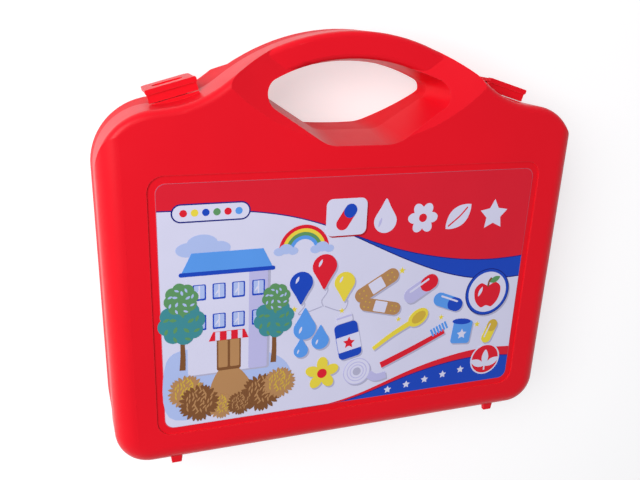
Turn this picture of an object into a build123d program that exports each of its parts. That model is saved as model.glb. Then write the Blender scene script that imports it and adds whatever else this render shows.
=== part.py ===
from build123d import *
import math
import os

# Toy doctor case lying on its back, in millimetres.
# +X is the viewer's right, +Y runs up the case to the handle, +Z points out of the front face.

# ---- case: overall form ----
case_height = 246.0
half_width_bottom = 140.2
half_width_shoulder = 144.3
base_depth = 34.0
lid_depth = 28.0
wall = 2.0
foot_height = 2.6
shoulder_height = 202.0
roof_height = 219.0
lid_bottom_radius = 20.0
base_bottom_radius = 28.0
lid_shoulder_radius = 32.0
base_shoulder_radius = 38.0
lid_side_roll = 12.0
lid_rim_roll = 4.0
base_side_roll = 9.0
base_rim_roll = 8.0

# ---- handle ----
shoulder_length = 55.49
neck_radius = 60.0
fillet_share = 0.995
grip_width = 14.5
grip_roll = 3.0
opening_height = 44.5
opening_flat = 40.0
opening_slope = 32.5
opening_end_radius = 8.0
opening_corner_radius = 18.0
opening_draft = 9.0
opening_waist = 2.6
dish_radius = 108.0
dish_centre_rise = 48.0
lid_dish_depth = 12.0
lid_dish_slope = 24.0
base_dish_depth = 20.0
base_dish_slope = 64.0
level_tolerance = 0.01

# ---- label and its recess ----
label_bottom = 24.2
label_top = 168.1
label_margin_bottom = 26.6
label_margin_top = 28.9
label_corner_radius = 5.5
label_thickness = 0.4
recess_margin = 4.2
recess_corner_radius = 9.0
recess_depth = 0.8

# ---- hinge along the bottom edge ----
hinge_from_side = 65.2
hinge_offset = 0.5
knuckle_radius = 2.0
knuckle_outer_length = 8.0
knuckle_middle_length = 18.0
knuckle_gap = 0.4
hinge_pin_radius = 0.8
running_clearance = 0.06
body_clearance = 0.5

# ---- feet on the bottom edge ----
foot_from_side = 33.7
foot_width = 7.0
foot_thickness = 4.0
lid_foot_from_face = 7.0
base_foot_from_back = 5.0
foot_draft = 8.0

# ---- latches over the shoulders ----
latch_from_side = 43.9
latch_tilt = 16.0
latch_width = 27.0
latch_top = 9.7
latch_plate = 2.0
latch_leg = 2.2
latch_leg_foot = 2.7
latch_front_from_face = 20.0
latch_rear_from_face = 42.0
latch_corner_radius = 3.0
latch_bead = 0.9
latch_window_length = 17.0
latch_window_width = 7.0
latch_axis_from_face = 39.5
latch_axis_rise = 4.4
latch_lug_radius = 2.7
latch_lug_width = 12.0
latch_ear_width = 3.0
latch_ear_radius = 2.6
latch_pin_radius = 1.0
latch_side_gap = 0.4
catch_width = 27.0
catch_thickness = 5.4
catch_gap = 0.4
stem_depth = 9.0

# ---- tray ----
tray_deck = 32.0
tray_wall = 1.5
tray_clearance = 1.5
tray_below_opening = 15.0
tray_corner_radius = 28.0
tray_skirt = 22.0
post_radius = 4.0
post_bore_radius = 2.0
post_places = [(-59.0, -22.0), (62.0, -77.0), (-12.0, 38.5), (124.0, 30.0), (91.0, 0.0)]

# ---- pocket clearances ----
pocket_clearance = 1.5
seat_gap = 0.3

# ---- syringe ----
syringe_x = -60.0
syringe_y = 61.0
barrel_radius = 9.0
barrel_length = 70.0
barrel_wall = 1.6
nozzle_length = 12.0
nozzle_radius = 3.0
flange_width = 30.0
flange_thickness = 3.0
plunger_seal_length = 5.0
plunger_rib = 2.0
plunger_extra = 10.0
plunger_disc = 3.0
plunger_travel = 25.0
plunger_clearance = 0.3
syringe_pocket_depth = 12.0
syringe_pocket_corner = 6.0
nozzle_draft = 5.0
flange_corner_radius = 8.0
plunger_rib_relief = 0.5

# ---- pill jar ----
jar_x = 25.0
jar_y = 62.0
jar_radius = 13.5
jar_height = 27.0
jar_wall = 1.6
jar_cap_radius = 15.0
jar_cap_height = 10.0
jar_cap_flutes = 24
jar_cap_flute_radius = 0.8
jar_pocket_depth = 23.0

# ---- scissors ----
scissor_x = -75.0
scissor_y = 11.0
scissor_half_thickness = 3.0
scissor_layer_gap = 0.1
scissor_blade_length = 50.0
scissor_blade_width = 9.0
scissor_heel = 8.0
scissor_tip = 6.0
scissor_arm_width = 6.0
scissor_ring_offset = 13.5
scissor_ring_reach = 37.0
scissor_ring_radius = 12.5
scissor_ring_hole = 8.5
scissor_rivet_radius = 2.6
scissor_rivet_head = 5.0
scissor_rivet_height = 1.4
scissor_pocket_length = 106.0
scissor_pocket_width = 54.0
scissor_pocket_corner = 12.0

# ---- gauge ----
gauge_x = 10.0
gauge_y = 9.0
gauge_radius = 28.0
gauge_thickness = 14.0
gauge_pocket_depth = 8.0
gauge_back_roll = 3.0
gauge_rim_roll = 1.5
gauge_dial_radius = 23.5
gauge_dial_thickness = 1.0
gauge_well_depth = 5.0
gauge_lens_thickness = 1.4
gauge_lens_ledge = 1.5
gauge_pin_radius = 1.0
gauge_hub_radius = 3.2
gauge_pointer_length = 19.0
gauge_pointer_thickness = 0.9
gauge_tail_length = 6.0
gauge_tail_width = 2.8
gauge_point_width = 0.7

# ---- writing pad ----
pad_x = -96.0
pad_y = -49.0
pad_length = 62.0
pad_width = 46.0
pad_thickness = 3.5
pad_sheet_thickness = 0.8
pad_margin = 4.0
pad_clip_length = 24.0
pad_clip_width = 8.0
pad_clip_height = 2.4
pad_pocket_depth = 6.5
pad_corner_radius = 3.0
pad_edge_roll = 1.0
pad_clip_inset = 1.5
pad_clip_corner = 2.0
pad_clip_roll = 0.8

# ---- oval dish ----
dish_x = -18.0
dish_y = -50.0
dish_length = 70.0
dish_width = 40.0
dish_height = 14.0
dish_wall = 1.6
dish_flare = 12.0
dish_pocket_depth = 10.0

# ---- thermometer ----
thermometer_x = 54.0
thermometer_y = 17.0
thermometer_length = 96.0
thermometer_width = 15.0
thermometer_thickness = 8.0
thermometer_tip_length = 14.0
thermometer_tip_radius = 2.6
thermometer_window_length = 22.0
thermometer_window_width = 8.0
thermometer_window_thickness = 0.6
thermometer_pocket_depth = 5.0
thermometer_pocket_corner = 4.0
thermometer_corner_radius = 7.0
thermometer_edge_roll = 2.0
thermometer_window_rise = 16.0
thermometer_window_corner = 1.5
window_clearance = 0.1

# ---- reflex hammer ----
hammer_x = 106.0
hammer_head_y = 64.0
hammer_head_radius = 9.0
hammer_head_length = 42.0
hammer_handle_length = 118.0
hammer_handle_radius = 4.2
hammer_grip_radius = 6.0
hammer_grip_length = 52.0
hammer_socket_depth = 6.0
hammer_pocket_depth = 12.0
hammer_pocket_corner = 5.0
hammer_edge_roll = 3.0
hammer_grip_roll = 1.6

# ---- dental mirror ----
mirror_x = 78.0
mirror_y = -60.0
mirror_ring_radius = 14.0
mirror_glass_radius = 11.5
mirror_glass_thickness = 1.2
mirror_thickness = 5.0
mirror_handle_length = 104.0
mirror_handle_radius = 3.6
mirror_pocket_depth = 7.0
mirror_pocket_corner = 4.5
mirror_edge_roll = 1.0
mirror_root = 2.0

# ---- spare compartment ----
spare_x = 41.0
spare_y = -60.0
spare_width = 26.0
spare_length = 34.0
spare_depth = 23.0
spare_corner = 4.0

# ---- planes and levels worked out from the sizes ----
total_depth = base_depth + lid_depth
case_bottom = -(case_height - foot_height) / 2
roof_slope = (roof_height - shoulder_height) / half_width_shoulder
side_lean = (half_width_shoulder - half_width_bottom) / shoulder_height
neck_half_width = half_width_shoulder - shoulder_length
neck_height = shoulder_height + roof_slope * shoulder_length
arch_rise = case_height - neck_height
arch_radius = (neck_half_width**2 + arch_rise**2) / (2 * arch_rise)
arch_centre = case_height - arch_radius
neck_turn = math.asin(neck_half_width / arch_radius) - math.atan(roof_slope)
shoulder_turn = math.pi / 2 + math.atan(side_lean) - math.atan(roof_slope)
opening_bottom = case_height - grip_width - opening_height
dish_centre = case_height + dish_centre_rise
label_half_bottom = half_width_bottom - label_margin_bottom
label_half_top = half_width_shoulder - label_margin_top
hinge_spacing = 2 * (half_width_bottom - hinge_from_side)
foot_spacing = 2 * (half_width_bottom - foot_from_side)
latch_x = half_width_shoulder - latch_from_side
latch_seat_height = shoulder_height + roof_slope * latch_from_side
hinge_y = case_bottom - hinge_offset
tray_low = case_bottom + wall + tray_clearance
tray_high = case_bottom + opening_bottom - tray_below_opening
tray_centre = (tray_low + tray_high) / 2
case_plane = Plane((0, case_bottom, 0))
tray_plane = Plane((0, tray_centre, 0))


def case_outline(bottom_radius, shoulder_radius, inset=0.0):
    """Front view of the body with its shoulders and the arch of the handle."""
    slope_length = shoulder_length * math.hypot(1, roof_slope)
    shoulder_part = shoulder_radius * math.tan(shoulder_turn / 2)
    neck_fit = (slope_length - shoulder_part) / math.tan(neck_turn / 2)
    with BuildSketch(case_plane) as outline:
        with BuildLine():
            Polyline(
                (-half_width_bottom, 0),
                (half_width_bottom, 0),
                (half_width_shoulder, shoulder_height),
                (0, roof_height),
                (-half_width_shoulder, shoulder_height),
                close=True,
            )
        make_face()
        fillet(outline.vertices().group_by(Axis.Y)[0], bottom_radius)
        sides = outline.vertices().group_by(Axis.X)
        shoulders = [side.sort_by(Axis.Y)[-1] for side in (sides[0], sides[-1])]
        fillet(shoulders, shoulder_radius)
        with BuildLine():
            CenterArc((0, arch_centre), arch_radius, 0, 180)
            Line((-arch_radius, arch_centre), (arch_radius, arch_centre))
        make_face()
        fillet(outline.vertices().group_by(Axis.Y)[-1], min(neck_radius, neck_fit * fillet_share))
        if inset:
            offset(amount=-inset, mode=Mode.REPLACE)
    return outline.sketch


def handle_opening(grow=0.0):
    """Finger opening: flat in the middle, rising to rounded ends under the arch."""
    rise = (arch_radius - opening_flat / 2) * math.tan(math.radians(opening_slope))
    with BuildSketch(case_plane) as hole:
        with Locations((0, arch_centre)):
            Circle(arch_radius - grip_width)
        with BuildLine():
            Polyline(
                (-arch_radius, opening_bottom + rise),
                (-opening_flat / 2, opening_bottom),
                (opening_flat / 2, opening_bottom),
                (arch_radius, opening_bottom + rise),
                close=True,
            )
        make_face(mode=Mode.INTERSECT)
        fillet(hole.vertices().group_by(Axis.Y)[-1], opening_end_radius)
        fillet(hole.vertices().group_by(Axis.Y)[0], opening_corner_radius)
        if grow:
            offset(amount=grow, mode=Mode.REPLACE)
    return hole.sketch


def rolled_block(depth, bottom_radius, roll, inset=0.0):
    """Body with straight sides carried past the handle, rolled over at its far face."""
    top = case_height + arch_radius
    half_width_top = half_width_bottom + side_lean * top
    with BuildPart() as block:
        with BuildSketch(case_plane) as plan:
            with BuildLine():
                Polyline(
                    (-half_width_bottom, 0),
                    (half_width_bottom, 0),
                    (half_width_top, top),
                    (-half_width_top, top),
                    close=True,
                )
            make_face()
            fillet(plan.vertices().group_by(Axis.Y)[0], bottom_radius)
            if inset:
                offset(amount=-inset, mode=Mode.REPLACE)
        extrude(amount=depth - inset)
        far_edges = block.faces().sort_by(Axis.Z)[-1].edges()
        fillet(far_edges.sort_by(Axis.Y)[:-1], roll - inset)
    return block.part


def half_form(depth, corner_radii, rolls, dish_depth, dish_slope, draft, inset=0.0):
    """Solid form of a case half, from the parting plane at z = 0 out to its face."""
    bottom_radius, shoulder_radius = corner_radii
    side_roll, rim_roll = rolls
    block = rolled_block(depth, bottom_radius, side_roll, inset)
    outline = case_outline(bottom_radius, shoulder_radius, inset)
    hole = handle_opening(inset - opening_waist)
    slope = math.radians(dish_slope)
    floor_radius = dish_radius - dish_depth / math.tan(slope)
    ease = inset * math.tan(slope / 2)
    grip_level = depth - dish_depth
    with BuildPart() as half:
        add(outline)
        extrude(amount=depth - inset)
        fillet(half.faces().sort_by(Axis.Z)[-1].edges(), rim_roll - inset)
        add(block, mode=Mode.INTERSECT)
        with Locations((0, case_bottom + dish_centre, grip_level - inset)):
            Cone(
                floor_radius + ease,
                dish_radius + ease,
                dish_depth,
                align=(Align.CENTER, Align.CENTER, Align.MIN),
                mode=Mode.SUBTRACT,
            )
        add(hole)
        extrude(amount=depth, taper=-draft, mode=Mode.SUBTRACT)
        if not inset:
            span = (grip_level - level_tolerance, grip_level + level_tolerance)
            level_edges = half.edges().filter_by_position(Axis.Z, *span)
            grip_edges = level_edges.filter_by(GeomType.CIRCLE).sort_by(Edge.length)[-2:]
            fillet(grip_edges, grip_roll)
    return half.part


def shoulder_plane(side, rise=0.0):
    """Plane on a shoulder: x along the slope, y out of the shoulder, z with the case depth."""
    tilt = math.radians(latch_tilt)
    x_axis = Vector(math.cos(tilt), -side * math.sin(tilt), 0)
    y_axis = Vector(side * math.sin(tilt), math.cos(tilt), 0)
    seat = Vector(side * latch_x, case_bottom + latch_seat_height, 0)
    return Plane(seat + y_axis * rise, x_dir=x_axis, z_dir=(0, 0, 1))


def shoulder_axis_plane(side):
    """Plane square to a latch's hinge pin, through the middle of the latch."""
    seat = shoulder_plane(side, latch_axis_rise)
    origin = seat.origin + Vector(0, 0, total_depth - latch_axis_from_face)
    return Plane(origin, x_dir=(0, 0, 1), z_dir=seat.x_dir)


# ---- hinge: knuckle places along the bottom edge ----
hinge_centres = [-hinge_spacing / 2, hinge_spacing / 2]
outer_knuckle_step = knuckle_middle_length / 2 + knuckle_gap + knuckle_outer_length / 2
base_knuckles = [x + side * outer_knuckle_step for x in hinge_centres for side in (-1, 1)]
lid_knuckles = hinge_centres
hinge_pin_length = knuckle_middle_length + 2 * (knuckle_gap + knuckle_outer_length)


def hinge_rods(centres, length, radius):
    """Round rods on the hinge line, as knuckles, notches or bores."""
    with BuildPart() as rods:
        for x in centres:
            with BuildSketch(Plane((x, hinge_y, base_depth), x_dir=(0, 1, 0), z_dir=(1, 0, 0))):
                Circle(radius)
            extrude(amount=length / 2, both=True)
    return rods.part


def feet(level):
    """Pair of tapered standing feet under the bottom edge."""
    foot_plane = Plane((0, case_bottom + wall, level), x_dir=(1, 0, 0), z_dir=(0, -1, 0))
    with BuildPart() as pair:
        with BuildSketch(foot_plane):
            with Locations((-foot_spacing / 2, 0), (foot_spacing / 2, 0)):
                RectangleRounded(foot_width, foot_thickness, foot_thickness / 4)
        extrude(amount=wall + foot_height, taper=foot_draft)
    return pair.part


def latch_stems(width, near, far, top):
    """Blocks on both shoulders, from inside the wall up to a height above it."""
    with BuildPart() as stems:
        for side in (-1, 1):
            with BuildSketch(shoulder_plane(side)) as seat:
                with Locations((0, (top - stem_depth) / 2)):
                    Rectangle(width, top + stem_depth)
            extrude(seat.sketch.moved(Location((0, 0, near))), amount=far - near)
    return stems.part


# ---- base shell ----
base_sizes = (
    base_depth,
    (base_bottom_radius, base_shoulder_radius),
    (base_side_roll, base_rim_roll),
    base_dish_depth,
    base_dish_slope,
    0.0,
)
base_outer = mirror(half_form(*base_sizes), Plane.XY)
base_inner = mirror(half_form(*base_sizes, inset=wall), Plane.XY)
base_feet = feet(base_foot_from_back)
base_rods = hinge_rods(base_knuckles, knuckle_outer_length, knuckle_radius)
notch_radius = knuckle_radius + body_clearance
base_notches = hinge_rods(lid_knuckles, knuckle_middle_length + 2 * knuckle_gap, notch_radius)
pin_bores = hinge_rods(hinge_centres, hinge_pin_length, hinge_pin_radius + running_clearance)
latch_axis_level = total_depth - latch_axis_from_face
lug_stems = latch_stems(
    latch_lug_width,
    latch_axis_level - latch_lug_radius,
    latch_axis_level + latch_lug_radius,
    latch_axis_rise,
)

with BuildPart() as base_shell:
    with Locations((0, 0, base_depth)):
        add(base_outer)
    add(base_feet)
    add(lug_stems)
    for side in (-1, 1):
        with BuildSketch(shoulder_axis_plane(side)):
            Circle(latch_lug_radius)
        extrude(amount=latch_lug_width / 2, both=True)
    with Locations((0, 0, base_depth)):
        add(base_inner, mode=Mode.SUBTRACT)
    add(base_notches, mode=Mode.SUBTRACT)
    add(base_rods)
    add(pin_bores, mode=Mode.SUBTRACT)
    for side in (-1, 1):
        with BuildSketch(shoulder_axis_plane(side)):
            Circle(latch_pin_radius + running_clearance)
        extrude(amount=latch_lug_width, both=True, mode=Mode.SUBTRACT)
    with BuildSketch(tray_plane.offset(wall / 2)):
        with Locations(*post_places):
            Circle(post_radius)
            Circle(post_bore_radius, mode=Mode.SUBTRACT)
    extrude(amount=tray_deck - tray_wall - wall / 2)
base_shell.part.label = "base_shell"

# ---- front lid ----
lid_sizes = (
    lid_depth,
    (lid_bottom_radius, lid_shoulder_radius),
    (lid_side_roll, lid_rim_roll),
    lid_dish_depth,
    lid_dish_slope,
    opening_draft,
)
lid_outer = half_form(*lid_sizes)
lid_inner = half_form(*lid_sizes, inset=wall)
lid_feet = feet(total_depth - lid_foot_from_face)
lid_rods = hinge_rods(lid_knuckles, knuckle_middle_length, knuckle_radius)
lid_notches = hinge_rods(base_knuckles, knuckle_outer_length + 2 * knuckle_gap, notch_radius)
leg_level = total_depth - latch_front_from_face
catch_ribs = latch_stems(catch_width, leg_level - catch_thickness, leg_level, latch_leg_foot - catch_gap)


def label_outline(margin, corner_radius):
    """Slightly tapered label shape with rounded corners."""
    with BuildSketch(case_plane.offset(total_depth - recess_depth)) as outline:
        with BuildLine():
            Polyline(
                (-label_half_bottom - margin, label_bottom - margin),
                (label_half_bottom + margin, label_bottom - margin),
                (label_half_top + margin, label_top + margin),
                (-label_half_top - margin, label_top + margin),
                close=True,
            )
        make_face()
        fillet(outline.vertices(), corner_radius)
    return outline.sketch


recess_outline = label_outline(recess_margin, recess_corner_radius)
with BuildPart() as front_lid:
    with Locations((0, 0, base_depth)):
        add(lid_outer)
    add(lid_feet)
    add(catch_ribs)
    with Locations((0, 0, base_depth)):
        add(lid_inner, mode=Mode.SUBTRACT)
    add(recess_outline)
    extrude(amount=wall, mode=Mode.SUBTRACT)
    add(lid_notches, mode=Mode.SUBTRACT)
    add(lid_rods)
    add(pin_bores, mode=Mode.SUBTRACT)
front_lid.part.label = "front_lid"

label_shape = label_outline(0.0, label_corner_radius)
with BuildPart() as front_label:
    add(label_shape)
    extrude(amount=label_thickness)
front_label.part.label = "front_label"

# ---- hinge pins ----
hinge_pins = []
for x, name in zip(hinge_centres, ("left_hinge_pin", "right_hinge_pin")):
    with BuildPart() as hinge_pin:
        with BuildSketch(Plane((x, hinge_y, base_depth), x_dir=(0, 1, 0), z_dir=(1, 0, 0))):
            Circle(hinge_pin_radius)
        extrude(amount=hinge_pin_length / 2, both=True)
        chamfer(hinge_pin.edges().filter_by(GeomType.CIRCLE), hinge_pin_radius / 4)
    hinge_pin.part.label = name
    hinge_pins.append(hinge_pin.part)

# ---- latches and their pins ----
latches = []
latch_pins = []
ear_step = latch_lug_width / 2 + latch_side_gap + latch_ear_width / 2
latch_pin_length = 2 * ear_step + latch_ear_width
for side, name in ((-1, "left"), (1, "right")):
    seat = shoulder_plane(side)
    axis_plane = shoulder_axis_plane(side)
    front_level = total_depth - latch_front_from_face
    rear_level = total_depth - latch_rear_from_face
    plate_plane = Plane(
        seat.origin + seat.y_dir * latch_top + Vector(0, 0, (front_level + rear_level) / 2),
        x_dir=seat.x_dir,
        z_dir=seat.y_dir,
    )
    with BuildPart() as latch:
        with BuildSketch(plate_plane):
            RectangleRounded(latch_width, front_level - rear_level, latch_corner_radius)
        extrude(amount=-latch_plate)
        with BuildSketch(seat.offset(front_level - latch_leg)):
            with Locations((0, (latch_top + latch_leg_foot) / 2)):
                Rectangle(latch_width, latch_top - latch_leg_foot)
        extrude(amount=latch_leg)
        with BuildSketch(seat.offset(front_level - latch_leg)):
            with Locations((0, latch_top - latch_plate / 2)):
                RectangleRounded(latch_width + latch_bead, latch_plate + latch_bead, latch_bead)
        extrude(amount=latch_leg + latch_bead)
        for ear in (-1, 1):
            ear_plane = axis_plane.offset(ear * ear_step)
            with BuildSketch(ear_plane):
                Circle(latch_ear_radius)
            extrude(amount=latch_ear_width / 2, both=True)
            with BuildSketch(seat.offset(latch_axis_level - latch_ear_radius)):
                with Locations((ear * ear_step, (latch_axis_rise + latch_top - latch_plate / 2) / 2)):
                    Rectangle(latch_ear_width, latch_top - latch_plate / 2 - latch_axis_rise)
            extrude(amount=2 * latch_ear_radius)
        with BuildSketch(plate_plane):
            SlotOverall(latch_window_length, latch_window_width)
        extrude(amount=-latch_plate / 2, mode=Mode.SUBTRACT)
        with BuildSketch(axis_plane):
            Circle(latch_pin_radius + running_clearance)
        extrude(amount=latch_width, both=True, mode=Mode.SUBTRACT)
    latch.part.label = f"{name}_latch"
    latches.append(latch.part)
    with BuildPart() as latch_pin:
        with BuildSketch(axis_plane):
            Circle(latch_pin_radius)
        extrude(amount=latch_pin_length / 2, both=True)
    latch_pin.part.label = f"{name}_latch_pin"
    latch_pins.append(latch_pin.part)

# ---- tray ----
syringe_axis = tray_deck - syringe_pocket_depth + seat_gap + barrel_radius
syringe_reach = nozzle_length + barrel_length + plunger_extra + plunger_disc + plunger_travel
hammer_handle_middle = hammer_head_y - hammer_head_radius - hammer_handle_length / 2
hammer_axis = tray_deck - hammer_pocket_depth + seat_gap + hammer_head_radius
hammer_grip_depth = tray_deck - hammer_axis + hammer_grip_radius + seat_gap
mirror_base = tray_deck - mirror_pocket_depth
mirror_handle_middle = mirror_y + mirror_ring_radius + mirror_handle_length / 2

# each pocket: centre x, centre y, length along x, length along y, corner radius, depth
pockets = [
    (
        syringe_x,
        syringe_y,
        syringe_reach + 2 * pocket_clearance,
        flange_width + 2 * pocket_clearance,
        syringe_pocket_corner,
        syringe_pocket_depth,
    ),
    (
        scissor_x,
        scissor_y,
        scissor_pocket_length,
        scissor_pocket_width,
        scissor_pocket_corner,
        scissor_half_thickness,
    ),
    (
        pad_x,
        pad_y,
        pad_length + 2 * pocket_clearance,
        pad_width + 2 * pocket_clearance,
        pad_corner_radius + pocket_clearance,
        pad_pocket_depth,
    ),
    (
        dish_x,
        dish_y,
        dish_length + 4 * pocket_clearance,
        dish_width + 4 * pocket_clearance,
        dish_width / 2,
        dish_pocket_depth,
    ),
    (
        thermometer_x,
        thermometer_y,
        thermometer_width + 2 * pocket_clearance,
        thermometer_length + thermometer_tip_length + 2 * pocket_clearance,
        thermometer_pocket_corner,
        thermometer_pocket_depth,
    ),
    (
        hammer_x,
        hammer_head_y,
        hammer_head_length + 2 * pocket_clearance,
        2 * (hammer_head_radius + pocket_clearance),
        hammer_pocket_corner,
        hammer_pocket_depth,
    ),
    (
        hammer_x,
        hammer_handle_middle,
        2 * (hammer_grip_radius + pocket_clearance),
        hammer_handle_length + 2 * pocket_clearance,
        hammer_grip_radius,
        hammer_grip_depth,
    ),
    (
        mirror_x,
        mirror_handle_middle,
        2 * (mirror_handle_radius + pocket_clearance),
        mirror_handle_length + 2 * pocket_clearance,
        mirror_pocket_corner,
        mirror_pocket_depth,
    ),
    (spare_x, spare_y, spare_width, spare_length, spare_corner, spare_depth),
]
# round pockets: centre x, centre y, radius, depth
round_pockets = [
    (jar_x, jar_y, jar_radius + pocket_clearance, jar_pocket_depth),
    (gauge_x, gauge_y, gauge_radius + pocket_clearance, gauge_pocket_depth),
    (mirror_x, mirror_y, mirror_ring_radius + pocket_clearance, mirror_pocket_depth),
]


def tray_outline(inset=0.0):
    """Tray plan: follows the case sides inside the base shell."""
    low = half_width_bottom - wall - tray_clearance
    high = low + side_lean * (tray_high - tray_low)
    half = (tray_high - tray_low) / 2
    with BuildSketch(tray_plane.offset(tray_deck)) as outline:
        with BuildLine():
            Polyline((-low, -half), (low, -half), (high, half), (-high, half), close=True)
        make_face()
        fillet(outline.vertices(), tray_corner_radius)
        if inset:
            offset(amount=-inset, mode=Mode.REPLACE)
    return outline.sketch


tray_plan = tray_outline()
tray_plan_inside = tray_outline(tray_wall)
with BuildPart() as instrument_tray:
    add(tray_plan)
    extrude(amount=-tray_skirt)
    add(tray_plan_inside.moved(Location((0, 0, -tray_wall))))
    extrude(amount=-tray_skirt, mode=Mode.SUBTRACT)
    for grow, mode in ((tray_wall, Mode.ADD), (0.0, Mode.SUBTRACT)):
        for x, y, length, width, corner, depth in pockets:
            with BuildSketch(tray_plane.offset(tray_deck)):
                with Locations((x, y)):
                    RectangleRounded(length + 2 * grow, width + 2 * grow, corner + grow)
            extrude(amount=-depth - grow, mode=mode)
        for x, y, radius, depth in round_pockets:
            with BuildSketch(tray_plane.offset(tray_deck)):
                with Locations((x, y)):
                    Circle(radius + grow)
            extrude(amount=-depth - grow, mode=mode)
instrument_tray.part.label = "instrument_tray"


def across(x, y, z):
    """Sketch plane square to +X at a place on the tray."""
    return Plane((x, tray_centre + y, z), x_dir=(0, 1, 0), z_dir=(1, 0, 0))


def along(x, y, z):
    """Sketch plane square to +Y at a place on the tray."""
    return Plane((x, tray_centre + y, z), x_dir=(1, 0, 0), z_dir=(0, 1, 0))


def flat(x, y, z):
    """Level sketch plane at a place on the tray."""
    return Plane((x, tray_centre + y, z))


# ---- syringe: nozzle to -X, plunger to +X ----
barrel_start = syringe_x - syringe_reach / 2 + nozzle_length
barrel_end = barrel_start + barrel_length
bore_radius = barrel_radius - barrel_wall
with BuildPart() as syringe_barrel:
    with BuildSketch(across(barrel_start, syringe_y, syringe_axis)):
        Circle(barrel_radius)
    extrude(amount=barrel_length)
    fillet(syringe_barrel.edges().group_by(Axis.X)[0], barrel_wall)
    with BuildSketch(across(barrel_start, syringe_y, syringe_axis)):
        Circle(nozzle_radius)
    extrude(amount=-nozzle_length, taper=nozzle_draft)
    with BuildSketch(across(barrel_end - flange_thickness, syringe_y, syringe_axis)):
        RectangleRounded(flange_width, 2 * barrel_radius, flange_corner_radius)
    extrude(amount=flange_thickness)
    with BuildSketch(across(barrel_start + barrel_wall, syringe_y, syringe_axis)):
        Circle(bore_radius)
    extrude(amount=barrel_length, mode=Mode.SUBTRACT)
syringe_barrel.part.label = "syringe_barrel"

seal_start = barrel_start + barrel_wall + seat_gap
rod_radius = bore_radius - plunger_clearance
rib_width = 2 * (rod_radius - plunger_rib_relief)
rod_end = barrel_end + plunger_extra
with BuildPart() as syringe_plunger:
    with BuildSketch(across(seal_start, syringe_y, syringe_axis)):
        Circle(rod_radius)
    extrude(amount=plunger_seal_length)
    with BuildSketch(across(seal_start + plunger_seal_length, syringe_y, syringe_axis)):
        Rectangle(rib_width, plunger_rib)
        Rectangle(plunger_rib, rib_width)
    extrude(amount=rod_end - seal_start - plunger_seal_length)
    with BuildSketch(across(rod_end, syringe_y, syringe_axis)):
        Circle(barrel_radius - seat_gap)
    extrude(amount=plunger_disc)
    fillet(syringe_plunger.edges().group_by(Axis.X)[-1], plunger_disc / 3)
syringe_plunger.part.label = "syringe_plunger"

# ---- pill jar ----
jar_floor = tray_deck - jar_pocket_depth
with BuildPart() as pill_jar:
    with BuildSketch(flat(jar_x, jar_y, jar_floor)):
        Circle(jar_radius)
    extrude(amount=jar_height)
    fillet(pill_jar.edges().group_by(Axis.Z)[0], jar_wall)
    with BuildSketch(flat(jar_x, jar_y, jar_floor + jar_wall)):
        Circle(jar_radius - jar_wall)
    extrude(amount=jar_height, mode=Mode.SUBTRACT)
pill_jar.part.label = "pill_jar"

with BuildPart() as pill_jar_cap:
    with BuildSketch(flat(jar_x, jar_y, jar_floor + jar_height)):
        Circle(jar_cap_radius)
        with PolarLocations(jar_cap_radius, jar_cap_flutes):
            Circle(jar_cap_flute_radius, mode=Mode.SUBTRACT)
    extrude(amount=jar_cap_height)
    with BuildSketch(flat(jar_x, jar_y, jar_floor + jar_height)):
        Circle(jar_radius - jar_wall)
    extrude(amount=jar_cap_height - 2 * jar_wall, mode=Mode.SUBTRACT)
pill_jar_cap.part.label = "pill_jar_cap"


# ---- scissors: blades to +X, finger rings to -X ----
def scissor_profile():
    """One half: a pointed blade, an arm and a finger ring on the other side."""
    with BuildSketch() as profile:
        with BuildLine():
            Polyline(
                (-scissor_heel, -scissor_blade_width / 2),
                (scissor_blade_length, 0),
                (scissor_blade_length - scissor_tip, scissor_blade_width / 2),
                (-scissor_heel, scissor_blade_width / 2),
                close=True,
            )
        make_face()
        with BuildLine():
            Polyline(
                (-scissor_heel, scissor_blade_width / 2),
                (-scissor_ring_reach, scissor_arm_width / 2 - scissor_ring_offset),
                (-scissor_ring_reach, -scissor_arm_width / 2 - scissor_ring_offset),
                (0, -scissor_blade_width / 2),
                close=True,
            )
        make_face()
        Circle(scissor_rivet_head)
        with Locations((-scissor_ring_reach, -scissor_ring_offset)):
            Circle(scissor_ring_radius)
            Circle(scissor_ring_hole, mode=Mode.SUBTRACT)
        Circle(scissor_rivet_radius + running_clearance, mode=Mode.SUBTRACT)
    return profile.sketch


scissor_floor = tray_deck - scissor_half_thickness
scissor_upper_level = tray_deck + scissor_layer_gap
scissor_place = flat(scissor_x, scissor_y, 0.0)
lower_profile = scissor_place.offset(scissor_floor) * scissor_profile()
upper_profile = scissor_place.offset(scissor_upper_level) * mirror(scissor_profile(), Plane.XZ)
with BuildPart() as scissor_lower_half:
    add(lower_profile)
    extrude(amount=scissor_half_thickness, dir=(0, 0, 1))
scissor_lower_half.part.label = "scissor_lower_half"

with BuildPart() as scissor_upper_half:
    add(upper_profile)
    extrude(amount=scissor_half_thickness, dir=(0, 0, 1))
scissor_upper_half.part.label = "scissor_upper_half"

rivet_head_level = scissor_upper_level + scissor_half_thickness + scissor_layer_gap
with BuildPart() as scissor_rivet:
    with BuildSketch(flat(scissor_x, scissor_y, scissor_floor)):
        Circle(scissor_rivet_radius)
    extrude(amount=rivet_head_level - scissor_floor)
    with BuildSketch(flat(scissor_x, scissor_y, rivet_head_level)):
        Circle(scissor_rivet_head)
    extrude(amount=scissor_rivet_height)
    fillet(scissor_rivet.edges().group_by(Axis.Z)[-1], scissor_rivet_height / 2)
scissor_rivet.part.label = "scissor_rivet"

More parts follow.
